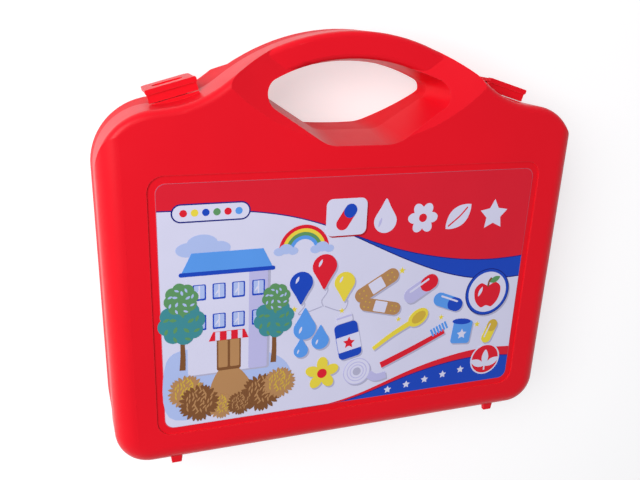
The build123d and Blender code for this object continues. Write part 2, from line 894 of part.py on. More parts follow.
# ---- gauge ----
gauge_floor = tray_deck - gauge_pocket_depth
gauge_top = gauge_floor + gauge_thickness
dial_level = gauge_top - gauge_lens_thickness - gauge_well_depth
with BuildPart() as gauge_case:
    with BuildSketch(flat(gauge_x, gauge_y, gauge_floor)):
        Circle(gauge_radius)
    extrude(amount=gauge_thickness)
    fillet(gauge_case.edges().group_by(Axis.Z)[0], gauge_back_roll)
    fillet(gauge_case.edges().group_by(Axis.Z)[-1], gauge_rim_roll)
    with BuildSketch(flat(gauge_x, gauge_y, dial_level)):
        Circle(gauge_dial_radius)
    extrude(amount=gauge_thickness, mode=Mode.SUBTRACT)
    with BuildSketch(flat(gauge_x, gauge_y, gauge_top - gauge_lens_thickness)):
        Circle(gauge_dial_radius + gauge_lens_ledge)
    extrude(amount=gauge_thickness, mode=Mode.SUBTRACT)
gauge_case.part.label = "gauge_case"

dial_top = dial_level + gauge_dial_thickness
pointer_level = dial_top + seat_gap
with BuildPart() as gauge_dial:
    with BuildSketch(flat(gauge_x, gauge_y, dial_level)):
        Circle(gauge_dial_radius - seat_gap)
    extrude(amount=gauge_dial_thickness)
    with BuildSketch(flat(gauge_x, gauge_y, dial_top)):
        Circle(gauge_pin_radius)
    extrude(amount=seat_gap + 2 * gauge_pointer_thickness)
gauge_dial.part.label = "gauge_dial"

with BuildPart() as gauge_pointer:
    with BuildSketch(flat(gauge_x, gauge_y, pointer_level)):
        with BuildLine():
            Polyline(
                (-gauge_tail_width / 2, -gauge_tail_length),
                (gauge_tail_width / 2, -gauge_tail_length),
                (gauge_point_width / 2, gauge_pointer_length),
                (-gauge_point_width / 2, gauge_pointer_length),
                close=True,
            )
        make_face()
        Circle(gauge_hub_radius)
        Circle(gauge_pin_radius + running_clearance, mode=Mode.SUBTRACT)
    extrude(amount=gauge_pointer_thickness)
gauge_pointer.part.label = "gauge_pointer"

with BuildPart() as gauge_lens:
    with BuildSketch(flat(gauge_x, gauge_y, gauge_top - gauge_lens_thickness)):
        Circle(gauge_dial_radius + gauge_lens_ledge - seat_gap)
    extrude(amount=gauge_lens_thickness)
    fillet(gauge_lens.edges().group_by(Axis.Z)[-1], gauge_lens_thickness / 3)
gauge_lens.part.label = "gauge_lens"

# ---- writing pad ----
pad_floor = tray_deck - pad_pocket_depth
pad_top = pad_floor + pad_thickness
pad_clip_step = pad_length / 2 - pad_clip_width / 2 - pad_clip_inset
with BuildPart() as pad_board:
    with BuildSketch(flat(pad_x, pad_y, pad_floor)):
        RectangleRounded(pad_length, pad_width, pad_corner_radius)
    extrude(amount=pad_thickness)
    fillet(pad_board.edges().group_by(Axis.Z)[-1], pad_edge_roll)
pad_board.part.label = "pad_board"

with BuildPart() as pad_sheet:
    with BuildSketch(flat(pad_x - pad_clip_width / 2, pad_y, pad_top)):
        Rectangle(pad_length - 2 * pad_margin - pad_clip_width, pad_width - 2 * pad_margin)
    extrude(amount=pad_sheet_thickness)
pad_sheet.part.label = "pad_sheet"

with BuildPart() as pad_clip:
    with BuildSketch(flat(pad_x + pad_clip_step, pad_y, pad_top)):
        RectangleRounded(pad_clip_width, pad_clip_length, pad_clip_corner)
    extrude(amount=pad_clip_height)
    fillet(pad_clip.edges().group_by(Axis.Z)[-1], pad_clip_roll)
pad_clip.part.label = "pad_clip"

# ---- oval dish ----
dish_floor = tray_deck - dish_pocket_depth
flare_run = dish_height * math.tan(math.radians(dish_flare))
dish_rim = dish_floor + dish_height
with BuildPart() as oval_dish:
    with BuildSketch(flat(dish_x, dish_y, dish_floor)):
        Ellipse(dish_length / 2 - flare_run, dish_width / 2 - flare_run)
    with BuildSketch(flat(dish_x, dish_y, dish_rim)):
        Ellipse(dish_length / 2, dish_width / 2)
    loft()
    with BuildSketch(flat(dish_x, dish_y, dish_floor + dish_wall)):
        Ellipse(dish_length / 2 - dish_wall - flare_run, dish_width / 2 - dish_wall - flare_run)
    with BuildSketch(flat(dish_x, dish_y, dish_rim)):
        Ellipse(dish_length / 2 - dish_wall, dish_width / 2 - dish_wall)
    loft(mode=Mode.SUBTRACT)
oval_dish.part.label = "oval_dish"

# ---- thermometer: tip to +Y ----
thermometer_floor = tray_deck - thermometer_pocket_depth
thermometer_top = thermometer_floor + thermometer_thickness
body_y = thermometer_y - thermometer_tip_length / 2
window_level = thermometer_top - thermometer_window_thickness
window_plane = flat(thermometer_x, body_y + thermometer_window_rise, window_level)
with BuildPart() as thermometer_body:
    with BuildSketch(flat(thermometer_x, body_y, thermometer_floor)):
        RectangleRounded(thermometer_width, thermometer_length, thermometer_corner_radius)
    extrude(amount=thermometer_thickness)
    fillet(thermometer_body.edges().group_by(Axis.Z)[-1], thermometer_edge_roll)
    with BuildSketch(along(thermometer_x, body_y, thermometer_floor + thermometer_thickness / 2)):
        Circle(thermometer_tip_radius)
    extrude(amount=thermometer_length / 2 + thermometer_tip_length)
    fillet(thermometer_body.edges().group_by(Axis.Y)[-1], thermometer_tip_radius / 2)
    with BuildSketch(window_plane):
        RectangleRounded(thermometer_window_width, thermometer_window_length, thermometer_window_corner)
    extrude(amount=thermometer_window_thickness, mode=Mode.SUBTRACT)
thermometer_body.part.label = "thermometer_body"

with BuildPart() as thermometer_window:
    with BuildSketch(window_plane):
        RectangleRounded(thermometer_window_width, thermometer_window_length, thermometer_window_corner)
        offset(amount=-window_clearance, mode=Mode.REPLACE)
    extrude(amount=thermometer_window_thickness)
thermometer_window.part.label = "thermometer_window"

# ---- reflex hammer: head across, handle to -Y ----
handle_top = hammer_head_y - hammer_head_radius + hammer_socket_depth
handle_bottom = hammer_head_y - hammer_head_radius - hammer_handle_length
with BuildPart() as hammer_head:
    with BuildSketch(across(hammer_x, hammer_head_y, hammer_axis)):
        Circle(hammer_head_radius)
    extrude(amount=hammer_head_length / 2, both=True)
    fillet(hammer_head.edges().filter_by(GeomType.CIRCLE), hammer_edge_roll)
    with BuildSketch(along(hammer_x, handle_top, hammer_axis)):
        Circle(hammer_handle_radius + running_clearance)
    extrude(amount=-hammer_head_radius, mode=Mode.SUBTRACT)
hammer_head.part.label = "hammer_head"

with BuildPart() as hammer_handle:
    with BuildSketch(along(hammer_x, handle_bottom, hammer_axis)):
        Circle(hammer_handle_radius)
    extrude(amount=handle_top - handle_bottom)
    with BuildSketch(along(hammer_x, handle_bottom, hammer_axis)):
        Circle(hammer_grip_radius)
    extrude(amount=hammer_grip_length)
    grip_ends = hammer_handle.edges().filter_by(GeomType.CIRCLE).sort_by(Edge.length)[-2:]
    fillet(grip_ends, hammer_grip_roll)
hammer_handle.part.label = "hammer_handle"

# ---- dental mirror: disc to -Y, handle to +Y ----
mirror_axis = mirror_base + seat_gap + mirror_handle_radius
with BuildPart() as mirror_handle:
    with BuildSketch(along(mirror_x, mirror_y + mirror_ring_radius - mirror_root, mirror_axis)):
        Circle(mirror_handle_radius)
    extrude(amount=mirror_handle_length + mirror_root)
    fillet(mirror_handle.edges().group_by(Axis.Y)[-1], mirror_handle_radius / 2)
    with BuildSketch(flat(mirror_x, mirror_y, mirror_base)):
        Circle(mirror_ring_radius)
    extrude(amount=mirror_thickness)
    fillet(mirror_handle.edges().group_by(Axis.Z)[0], mirror_edge_roll)
    with BuildSketch(flat(mirror_x, mirror_y, mirror_base + mirror_thickness - mirror_glass_thickness)):
        Circle(mirror_glass_radius)
    extrude(amount=2 * mirror_thickness, mode=Mode.SUBTRACT)
mirror_handle.part.label = "mirror_handle"

with BuildPart() as mirror_glass:
    with BuildSketch(flat(mirror_x, mirror_y, mirror_base + mirror_thickness - mirror_glass_thickness)):
        Circle(mirror_glass_radius - running_clearance)
    extrude(amount=mirror_glass_thickness)
mirror_glass.part.label = "mirror_glass"

pieces = [
    base_shell.part,
    front_lid.part,
    front_label.part,
    *hinge_pins,
    *latches,
    *latch_pins,
    instrument_tray.part,
    syringe_barrel.part,
    syringe_plunger.part,
    pill_jar.part,
    pill_jar_cap.part,
    scissor_lower_half.part,
    scissor_upper_half.part,
    scissor_rivet.part,
    gauge_case.part,
    gauge_dial.part,
    gauge_pointer.part,
    gauge_lens.part,
    pad_board.part,
    pad_sheet.part,
    pad_clip.part,
    oval_dish.part,
    thermometer_body.part,
    thermometer_window.part,
    hammer_head.part,
    hammer_handle.part,
    mirror_handle.part,
    mirror_glass.part,
]
os.makedirs("parts", exist_ok=True)
for piece in pieces:
    export_step(piece, f"parts/{piece.label}.step")
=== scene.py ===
import math

import bmesh
import bpy
from mathutils import Matrix, Vector


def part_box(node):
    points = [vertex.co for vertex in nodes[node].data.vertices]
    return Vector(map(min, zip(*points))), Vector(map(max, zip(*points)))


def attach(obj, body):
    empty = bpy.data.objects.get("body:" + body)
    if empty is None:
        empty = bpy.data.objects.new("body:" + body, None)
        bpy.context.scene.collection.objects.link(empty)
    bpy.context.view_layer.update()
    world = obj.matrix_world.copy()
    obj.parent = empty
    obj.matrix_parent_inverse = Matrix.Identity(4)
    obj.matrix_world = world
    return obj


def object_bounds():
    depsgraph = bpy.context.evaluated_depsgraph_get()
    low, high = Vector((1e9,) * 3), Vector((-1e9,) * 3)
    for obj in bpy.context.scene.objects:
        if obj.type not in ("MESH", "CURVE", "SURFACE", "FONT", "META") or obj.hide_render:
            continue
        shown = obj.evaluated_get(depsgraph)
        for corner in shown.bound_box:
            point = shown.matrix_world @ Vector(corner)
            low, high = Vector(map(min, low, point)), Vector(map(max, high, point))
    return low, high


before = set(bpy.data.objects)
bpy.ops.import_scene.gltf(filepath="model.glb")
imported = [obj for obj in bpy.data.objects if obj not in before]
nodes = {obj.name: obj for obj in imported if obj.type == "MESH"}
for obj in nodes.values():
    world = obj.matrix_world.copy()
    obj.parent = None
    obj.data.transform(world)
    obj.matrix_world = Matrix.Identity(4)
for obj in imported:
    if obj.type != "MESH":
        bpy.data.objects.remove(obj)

cad_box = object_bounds()

# ----------------------------------------
# Camera: someone leans over the case from its upper left, near enough for its
# edges to run together. The place is measured from the feet and the front face.
camera_x = -0.1627
camera_above_feet = 0.2607
camera_above_face = 0.3689
camera_yaw = 0.3600
camera_pitch = 0.3106
camera_roll = 0.0407
focal_length_pixels = 728.8
image_width_pixels = 640
sensor_width = 36.0

yaw_sin, yaw_cos = math.sin(camera_yaw), math.cos(camera_yaw)
pitch_sin, pitch_cos = math.sin(camera_pitch), math.cos(camera_pitch)
roll_sin, roll_cos = math.sin(camera_roll), math.cos(camera_roll)
forward = Vector((yaw_sin * pitch_cos, -pitch_sin, -yaw_cos * pitch_cos))
level_right = Vector((yaw_cos, 0, yaw_sin))
level_down = forward.cross(level_right)
picture_right = roll_cos * level_right - roll_sin * level_down
picture_up = -(roll_sin * level_right + roll_cos * level_down)

camera_data = bpy.data.cameras.new("camera")
camera_data.sensor_width = sensor_width
camera_data.lens = sensor_width * focal_length_pixels / image_width_pixels
camera = bpy.data.objects.new("camera", camera_data)
bpy.context.scene.collection.objects.link(camera)
eye = Vector((camera_x, cad_box[0].y + camera_above_feet, cad_box[1].z + camera_above_face))
turn = Matrix((picture_right, picture_up, -forward)).transposed().to_4x4()
camera.matrix_world = Matrix.Translation(eye) @ turn
bpy.context.scene.camera = camera
bpy.context.scene.view_settings.view_transform = "Standard"


# ----------------------------------------
# Studio: a wide white table that fades to plain white far from the case, a sky
# that is bright round the sides and dim overhead, and one large soft lamp high
# on the left.
def shader_node(tree, kind, inputs=None, **settings):
    """One shader node with its settings and unlinked inputs filled in."""
    node = tree.nodes.new("ShaderNode" + kind)
    for name, value in settings.items():
        setattr(node, name, value)
    for name, value in (inputs or {}).items():
        node.inputs[name].default_value = value
    return node


def blend(tree, first, second):
    """A mix of two colours."""
    mix = shader_node(tree, "Mix", data_type="RGBA")
    mix.inputs[6].default_value = (*first, 1)
    mix.inputs[7].default_value = (*second, 1)
    return mix


def join(tree, *links):
    """Links nodes, each link given as a node and its output, then a node and its input."""
    for source, output, target, entry in links:
        tree.links.new(source.outputs[output], target.inputs[entry])


white = (1, 1, 1, 1)
sky_horizon = (0.60, 0.60, 0.64)
sky_overhead = (0.20, 0.20, 0.22)
overhead_from = 0.8
floor_size = 6.0
floor_white = (0.80, 0.80, 0.80, 1)
floor_white_seen = (0.60, 0.60, 0.60, 1)
floor_lift = 0.54
white_from = 0.45
white_beyond = 1.6
lamp_tint = (1.0, 0.985, 0.98)
lamp_place = (-0.80, 0.45, 1.00)
lamp_aim = (0, 0, 0.03)
lamp_size = 0.9
lamp_watts = 17.5

world = bpy.data.worlds.new("studio")
world.use_nodes = True
bpy.context.scene.world = world
sky = world.node_tree
sky.nodes.clear()
direction = shader_node(sky, "TexCoord")
height = shader_node(sky, "SeparateXYZ")
fade = shader_node(sky, "MapRange", {"From Min": 0.0, "From Max": overhead_from})
tones = blend(sky, sky_horizon, sky_overhead)
seen = shader_node(sky, "LightPath")
studio_light = shader_node(sky, "Background")
white_paper = shader_node(sky, "Background", {"Color": white, "Strength": 1.0})
either = shader_node(sky, "MixShader")
sky_output = shader_node(sky, "OutputWorld")
join(
    sky,
    (direction, "Generated", height, 0),
    (height, "Z", fade, "Value"),
    (fade, "Result", tones, 0),
    (tones, 2, studio_light, "Color"),
    (seen, "Is Camera Ray", either, 0),
    (studio_light, 0, either, 1),
    (white_paper, 0, either, 2),
    (either, 0, sky_output, 0),
)

floor_paper = bpy.data.materials.new("floor_paper")
floor_paper.use_nodes = True
paper = floor_paper.node_tree
paper.nodes.clear()
matt = shader_node(paper, "BsdfDiffuse", {"Color": floor_white})
matt_seen = shader_node(paper, "BsdfDiffuse", {"Color": floor_white_seen})
lift = shader_node(paper, "Emission", {"Color": white, "Strength": floor_lift})
lifted = shader_node(paper, "AddShader")
paper_seen = shader_node(paper, "LightPath")
looked_at = shader_node(paper, "Math", operation="MAXIMUM")
looked_at_too = shader_node(paper, "Math", operation="MAXIMUM")
table_place = shader_node(paper, "TexCoord")
from_case = shader_node(paper, "VectorMath", operation="LENGTH")
far_off = shader_node(paper, "MapRange", {"From Min": white_from, "From Max": white_beyond})
far_and_seen = shader_node(paper, "Math", operation="MULTIPLY")
far_white = shader_node(paper, "Emission", {"Color": white, "Strength": 1.0})
faded = shader_node(paper, "MixShader")
paper_mix = shader_node(paper, "MixShader")
paper_output = shader_node(paper, "OutputMaterial")
join(
    paper,
    (paper_seen, "Is Camera Ray", looked_at, 0),
    (paper_seen, "Is Glossy Ray", looked_at, 1),
    (looked_at, 0, looked_at_too, 0),
    (paper_seen, "Is Transmission Ray", looked_at_too, 1),
    (matt_seen, 0, lifted, 0),
    (lift, 0, lifted, 1),
    (table_place, "Object", from_case, 0),
    (from_case, "Value", far_off, "Value"),
    (far_off, "Result", far_and_seen, 0),
    (paper_seen, "Is Camera Ray", far_and_seen, 1),
    (far_and_seen, 0, faded, 0),
    (lifted, 0, faded, 1),
    (far_white, 0, faded, 2),
    (looked_at_too, 0, paper_mix, 0),
    (matt, 0, paper_mix, 1),
    (faded, 0, paper_mix, 2),
    (paper_mix, 0, paper_output, "Surface"),
)
floor_mesh = bpy.data.meshes.new("floor")
half_floor = floor_size / 2
floor_sides = ((-1, -1), (1, -1), (1, 1), (-1, 1))
floor_corners = [(x * half_floor, y * half_floor, 0.0) for x, y in floor_sides]
floor_mesh.from_pydata(floor_corners, [], [(0, 1, 2, 3)])
floor_mesh.materials.append(floor_paper)
floor = bpy.data.objects.new("floor", floor_mesh)
bpy.context.scene.collection.objects.link(floor)

lamp_data = bpy.data.lights.new("overhead_lamp", "AREA")
lamp_data.shape = "RECTANGLE"
lamp_data.size = lamp_size
lamp_data.size_y = lamp_size
lamp_data.energy = lamp_watts
lamp_data.color = lamp_tint
lamp = bpy.data.objects.new("overhead_lamp", lamp_data)
lamp.location = lamp_place
lamp_direction = Vector(lamp_aim) - Vector(lamp_place)
lamp.rotation_euler = lamp_direction.to_track_quat("-Z", "Y").to_euler()
bpy.context.scene.collection.objects.link(lamp)


# ----------------------------------------
# Case shells and latches: injection-moulded red polypropylene, glossy, with the
# fine grain of a spark-eroded mould and edges rubbed paler by handling.
def shader_group(name, inputs, outputs):
    """An empty node group with its sockets: name, kind and starting value."""
    group = bpy.data.node_groups.new(name, "ShaderNodeTree")
    for socket, kind, value in inputs:
        made = group.interface.new_socket(socket, in_out="INPUT", socket_type=kind)
        if value is not None:
            made.default_value = value
    for socket, kind in outputs:
        group.interface.new_socket(socket, in_out="OUTPUT", socket_type=kind)
    return group, group.nodes.new("NodeGroupInput"), group.nodes.new("NodeGroupOutput")


FLOAT = "NodeSocketFloat"
VECTOR = "NodeSocketVector"

mould_grain, grain_in, grain_out = shader_group(
    "mould_grain",
    [("Place", VECTOR, None), ("Grain Size", FLOAT, 0.0005)],
    [("Height", FLOAT), ("Gloss", FLOAT), ("Tone", FLOAT)],
)
per_grain = shader_node(mould_grain, "Math", {0: 1.0}, operation="DIVIDE")
fine = shader_node(mould_grain, "TexNoise", {"Detail": 3.0, "Roughness": 0.55})
per_pebble = shader_node(mould_grain, "Math", {1: 0.45}, operation="MULTIPLY")
pebbles = shader_node(mould_grain, "TexVoronoi", feature="SMOOTH_F1")
relief = shader_node(mould_grain, "Mix", {"Factor": 0.35}, data_type="FLOAT")
patch_look = {"Scale": 38.0, "Detail": 5.0, "Roughness": 0.6}
gloss_patches = shader_node(mould_grain, "TexNoise", patch_look)
flow_look = {"Scale": 11.0, "Detail": 2.0, "Distortion": 0.8}
flow_marks = shader_node(mould_grain, "TexNoise", flow_look)
join(
    mould_grain,
    (grain_in, "Grain Size", per_grain, 1),
    (grain_in, "Place", fine, "Vector"),
    (per_grain, 0, fine, "Scale"),
    (per_grain, 0, per_pebble, 0),
    (grain_in, "Place", pebbles, "Vector"),
    (per_pebble, 0, pebbles, "Scale"),
    (fine, 0, relief, 2),
    (pebbles, "Distance", relief, 3),
    (relief, 0, grain_out, "Height"),
    (grain_in, "Place", gloss_patches, "Vector"),
    (gloss_patches, 0, grain_out, "Gloss"),
    (grain_in, "Place", flow_marks, "Vector"),
    (flow_marks, 0, grain_out, "Tone"),
)

rubbed_edges, rubbed_in, rubbed_out = shader_group(
    "rubbed_edges",
    [("Place", VECTOR, None), ("Width", FLOAT, 0.0006), ("Strength", FLOAT, 3.0)],
    [("Mask", FLOAT)],
)
rounded = shader_node(rubbed_edges, "Bevel", samples=6)
surface = shader_node(rubbed_edges, "NewGeometry")
alike = shader_node(rubbed_edges, "VectorMath", operation="DOT_PRODUCT")
apart = shader_node(rubbed_edges, "Math", {0: 1.0}, operation="SUBTRACT")
stronger = shader_node(rubbed_edges, "Math", operation="MULTIPLY")
patchy = shader_node(rubbed_edges, "TexNoise", {"Scale": 420.0, "Detail": 4.0})
edge_mask = shader_node(rubbed_edges, "Math", operation="MULTIPLY", use_clamp=True)
join(
    rubbed_edges,
    (rubbed_in, "Width", rounded, "Radius"),
    (rounded, 0, alike, 0),
    (surface, "Normal", alike, 1),
    (alike, "Value", apart, 1),
    (apart, 0, stronger, 0),
    (rubbed_in, "Strength", stronger, 1),
    (rubbed_in, "Place", patchy, "Vector"),
    (stronger, 0, edge_mask, 0),
    (patchy, 0, edge_mask, 1),
    (edge_mask, 0, rubbed_out, "Mask"),
)

plastic_specular = 0.3
deep_share = 0.90


def new_material(name, specular):
    """A material with its node tree, its shader and the place that its nodes read."""
    material = bpy.data.materials.new(name)
    material.use_nodes = True
    tree = material.node_tree
    shader = tree.nodes["Principled BSDF"]
    shader.inputs["Specular IOR Level"].default_value = specular
    return material, tree, shader, shader_node(tree, "TexCoord")


def moulded_plastic(name, colour, gloss, grain_size=0.0005, grain_depth=0.00003, pale=0.35, **constants):
    """A moulded plastic: colour, lowest and highest roughness, grain, and how pale its edges wear."""
    material, tree, shader, place = new_material(name, plastic_specular)
    for socket, value in constants.items():
        shader.inputs[socket.replace("_", " ")].default_value = value
    grain = shader_node(tree, "Group", node_tree=mould_grain)
    grain.inputs["Grain Size"].default_value = grain_size
    edges = shader_node(tree, "Group", node_tree=rubbed_edges)
    deep = tuple(deep_share * channel for channel in colour)
    worn = tuple(channel + (1 - channel) * pale for channel in colour)
    drift = blend(tree, deep, colour)
    wear = blend(tree, colour, worn)
    polish = shader_node(tree, "MapRange", {"To Min": gloss[0], "To Max": gloss[1]})
    bump = shader_node(tree, "Bump", {"Strength": 1.0, "Distance": grain_depth})
    join(
        tree,
        (place, "Object", grain, "Place"),
        (place, "Object", edges, "Place"),
        (grain, "Tone", drift, 0),
        (drift, 2, wear, 6),
        (edges, "Mask", wear, 0),
        (wear, 2, shader, "Base Color"),
        (grain, "Gloss", polish, "Value"),
        (polish, 0, shader, "Roughness"),
        (grain, "Height", bump, "Height"),
        (bump, 0, shader, "Normal"),
    )
    return material


def finish(material, *node_names):
    """Gives CAD nodes their real finish."""
    for node_name in node_names:
        mesh = nodes[node_name].data
        mesh.materials.clear()
        mesh.materials.append(material)


case_red = (0.84, 0.0065, 0.018)
case_grain = 0.0006
lid_plastic = moulded_plastic(
    "case_red_plastic", case_red, (0.30, 0.44), case_grain, pale=0.06, Specular_IOR_Level=0.18
)
back_plastic = moulded_plastic(
    "back_red_plastic", case_red, (0.40, 0.55), case_grain, pale=0.03, Specular_IOR_Level=0.05
)
finish(back_plastic, "base_shell")
finish(lid_plastic, "front_lid", "left_latch", "right_latch")

# ----------------------------------------
# Hinge and latch pins: cut lengths of drawn steel wire, bright, with a fine
# grain all over.
steel_grey = (0.56, 0.56, 0.58)
pin_steel = moulded_plastic(
    "pin_steel", steel_grey, (0.2, 0.34), grain_size=0.0002, grain_depth=0.00001, pale=0.2, Metallic=1.0
)
finish(pin_steel, "left_hinge_pin", "right_hinge_pin", "left_latch_pin", "right_latch_pin")

# ----------------------------------------
# Front label: coated paper under clear film, stuck in the lid's recess. Its inks
# are thin plates on the paper, each layer 0.03 mm higher than the one under it;
# sizes here are in millimetres from the label's middle.
mm = 0.001
label_low, label_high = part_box("front_label")
label_face = label_high.z
label_middle = (label_low.y + label_high.y) / 2
label_half_height = (label_high.y - label_low.y) / 2 / mm
label_half_width = label_high.x / mm
label_narrowing = 1.8
label_corner = 5.5
label_rim = 0.3
least_depth = 0.02
ink_film = 0.03
ink_step = 0.03
ink_overlap = 0.00022
overlaps_kept = 128

ink_colours = {
    "red": (0.72, 0.012, 0.030),
    "deep_red": (0.42, 0.004, 0.012),
    "blue": (0.010, 0.062, 0.50),
    "light_blue": (0.10, 0.32, 0.82),
    "navy": (0.006, 0.012, 0.20),
    "white": (0.86, 0.86, 0.93),
    "shadow": (0.44, 0.44, 0.60),
    "pale_blue": (0.42, 0.52, 0.84),
    "lavender": (0.50, 0.49, 0.78),
    "yellow": (0.80, 0.66, 0.06),
    "straw": (0.62, 0.42, 0.05),
    "brown": (0.21, 0.085, 0.030),
    "tan": (0.46, 0.24, 0.10),
    "teal": (0.05, 0.26, 0.30),
    "leaf": (0.11, 0.30, 0.12),
}
ink_meshes = {name: bmesh.new() for name in ink_colours}
shapes_printed = 0


def strip(mesh, first, second):
    """Closes the gap between two rings of vertices with quads."""
    for i in range(len(first)):
        mesh.faces.new((first[i - 1], first[i], second[i], second[i - 1]))


def raise_shape(mesh, outline, low, high, place=(0.0, 0.0), hole=None):
    """A closed plate between two levels; its outline and hole are in millimetres round a place."""
    rings = []
    for edge in (outline, hole):
        for level in (high, low) if edge else ():
            points = [(place[0] + x * mm, place[1] + y * mm, level) for x, y in edge]
            rings.append([mesh.verts.new(point) for point in points])
    strip(mesh, rings[0], rings[1])
    if hole:
        strip(mesh, rings[2], rings[3])
        strip(mesh, rings[0], rings[2])
        strip(mesh, rings[1], rings[3])
    else:
        mesh.faces.new(rings[0])
        mesh.faces.new(rings[1][::-1])


def ink(name, outline, layer=2, hole=None):
    """Prints one closed shape, or a ring where it has a hole, as a thin plate just over earlier ones."""
    global shapes_printed
    over = ink_overlap * (shapes_printed % overlaps_kept)
    shapes_printed += 1
    top = label_face + (ink_film + layer * ink_step + over) * mm
    raise_shape(ink_meshes[name], outline, label_face, top, (0.0, label_middle), hole)


def dressed(name, mesh, material, body):
    """Turns a mesh into a piece with its finish, which rides on a body."""
    bmesh.ops.recalc_face_normals(mesh, faces=mesh.faces)
    data = bpy.data.meshes.new(name)
    mesh.to_mesh(data)
    mesh.free()
    data.materials.append(material)
    piece = bpy.data.objects.new(name, data)
    bpy.context.scene.collection.objects.link(piece)
    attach(piece, body)


def turned(points, x, y, degrees=0.0):
    """Points turned about the origin, then moved to x, y."""
    c, s = math.cos(math.radians(degrees)), math.sin(math.radians(degrees))
    return [(x + c * px - s * py, y + s * px + c * py) for px, py in points]


def oval(x, y, width, height=None, degrees=0.0, steps=40):
    """An ellipse, or a circle where one size is given."""
    height = height or width
    angles = [2 * math.pi * i / steps for i in range(steps)]
    return turned([(width / 2 * math.cos(a), height / 2 * math.sin(a)) for a in angles], x, y, degrees)


def slab(x, y, width, height, radius=0.0, degrees=0.0, steps=7):
    """A rectangle with rounded corners."""
    radius = max(min(radius, width / 2, height / 2), 0.02)
    points = []
    for quarter, (sx, sy) in enumerate(((1, 1), (-1, 1), (-1, -1), (1, -1))):
        for i in range(steps + 1):
            a = math.pi / 2 * (quarter + i / steps)
            centre_x, centre_y = sx * (width / 2 - radius), sy * (height / 2 - radius)
            points.append((centre_x + radius * math.cos(a), centre_y + radius * math.sin(a)))
    return turned(points, x, y, degrees)


def burst(x, y, size, waist=0.5, arms=5, degrees=90.0):
    """A star."""
    points = []
    for i in range(2 * arms):
        reach = size / 2 * (waist if i % 2 else 1)
        points.append((reach * math.cos(math.pi * i / arms), reach * math.sin(math.pi * i / arms)))
    return turned(points, x, y, degrees)


def blade(x, y, length, width, degrees=0.0, steps=14):
    """A leaf or petal that starts at x, y, pointed at both ends."""
    half = [(length * i / steps, width / 2 * math.sin(math.pi * i / steps) ** 0.8) for i in range(steps + 1)]
    return turned(half + [(px, -py) for px, py in half[-2:0:-1]], x, y, degrees)


def drop(x, y, size, degrees=0.0, steps=30):
    """A drop with its point up."""
    points = []
    for i in range(steps):
        a = 2 * math.pi * i / steps - math.pi / 2
        pull = max(math.sin(a), 0.0) ** 3
        points.append((size / 2 * math.cos(a) * (1 - 0.55 * pull), size / 2 * math.sin(a) * (1 + 0.9 * pull)))
    return turned(points, x, y, degrees)


def curve_through(points, closed=True, steps=6):
    """A smooth curve through points."""
    count = len(points)
    spans = count if closed else count - 1
    curve = []
    for i in range(spans):
        near = []
        for k in (i - 1, i, i + 1, i + 2):
            near.append(points[k % count] if closed else points[min(max(k, 0), count - 1)])
        for j in range(steps):
            t = j / steps
            weights = (-t + 2 * t**2 - t**3, 2 - 5 * t**2 + 3 * t**3, t + 4 * t**2 - 3 * t**3, t**3 - t**2)
            curve.append(tuple(sum(w * p[axis] for w, p in zip(weights, near)) / 2 for axis in (0, 1)))
    return curve if closed else curve + [points[-1]]


def stroke(points, width, end_width=None):
    """A line of some width along a smooth open curve."""
    curve = curve_through(points, closed=False)
    end_width = width if end_width is None else end_width
    left, right = [], []
    for i, (x, y) in enumerate(curve):
        ahead, behind = curve[min(i + 1, len(curve) - 1)], curve[max(i - 1, 0)]
        dx, dy = ahead[0] - behind[0], ahead[1] - behind[1]
        half = (width + (end_width - width) * i / (len(curve) - 1)) / 2 / math.hypot(dx, dy)
        left.append((x - dy * half, y + dx * half))
        right.append((x + dy * half, y - dx * half))
    return left + right[::-1]


def edge_of_print(across, side):
    """Height of the print's top (side 1) or bottom (side -1) edge, with its round corners."""
    half_height = label_half_height - label_rim
    from_side = (1 - abs(across)) * label_half_width
    cut = label_corner - math.sqrt(max(label_corner**2 - max(label_corner - from_side, 0) ** 2, 0))
    return side * (half_height - cut)


def print_point(across, y):
    """A point on the print: across is -1 at its left edge and 1 at its right."""
    half_width = label_half_width - label_rim
    half_width -= label_narrowing * (0.5 - y / (2 * label_half_height))
    return across * half_width, y


def field(name, lower, upper, start=-1.0, end=1.0, layer=1, steps=90):
    """A field of ink between two curves that run across the label."""
    first, last = math.asin(start), math.asin(end)
    places = [math.sin(first + (last - first) * i / steps) for i in range(steps + 1)]
    low = [max(lower(a), edge_of_print(a, -1)) for a in places]
    high = [max(min(upper(a), edge_of_print(a, 1)), y + least_depth) for a, y in zip(places, low)]
    below = [print_point(a, y) for a, y in zip(places, low)]
    above = [print_point(a, y) for a, y in zip(places, high)]
    ink(name, below + above[::-1], layer)


def wave(low, high, middle, width, swell=0.0):
    """A curve that goes from one height to another round a middle, with a swell on it."""

    def height(across):
        t = 0.5 + 0.5 * math.tanh((across - middle) / width)
        return low + (high - low) * t + swell * math.exp(-(((across - middle - 2 * width) / width) ** 2))

    return height


def print_edge(side):
    """The print's own top or bottom edge as a curve."""
    return lambda across: edge_of_print(across, side)


def lifted_curve(curve, rise):
    """A curve moved up or down."""
    return lambda across: curve(across) + rise(across) if callable(rise) else curve(across) + rise


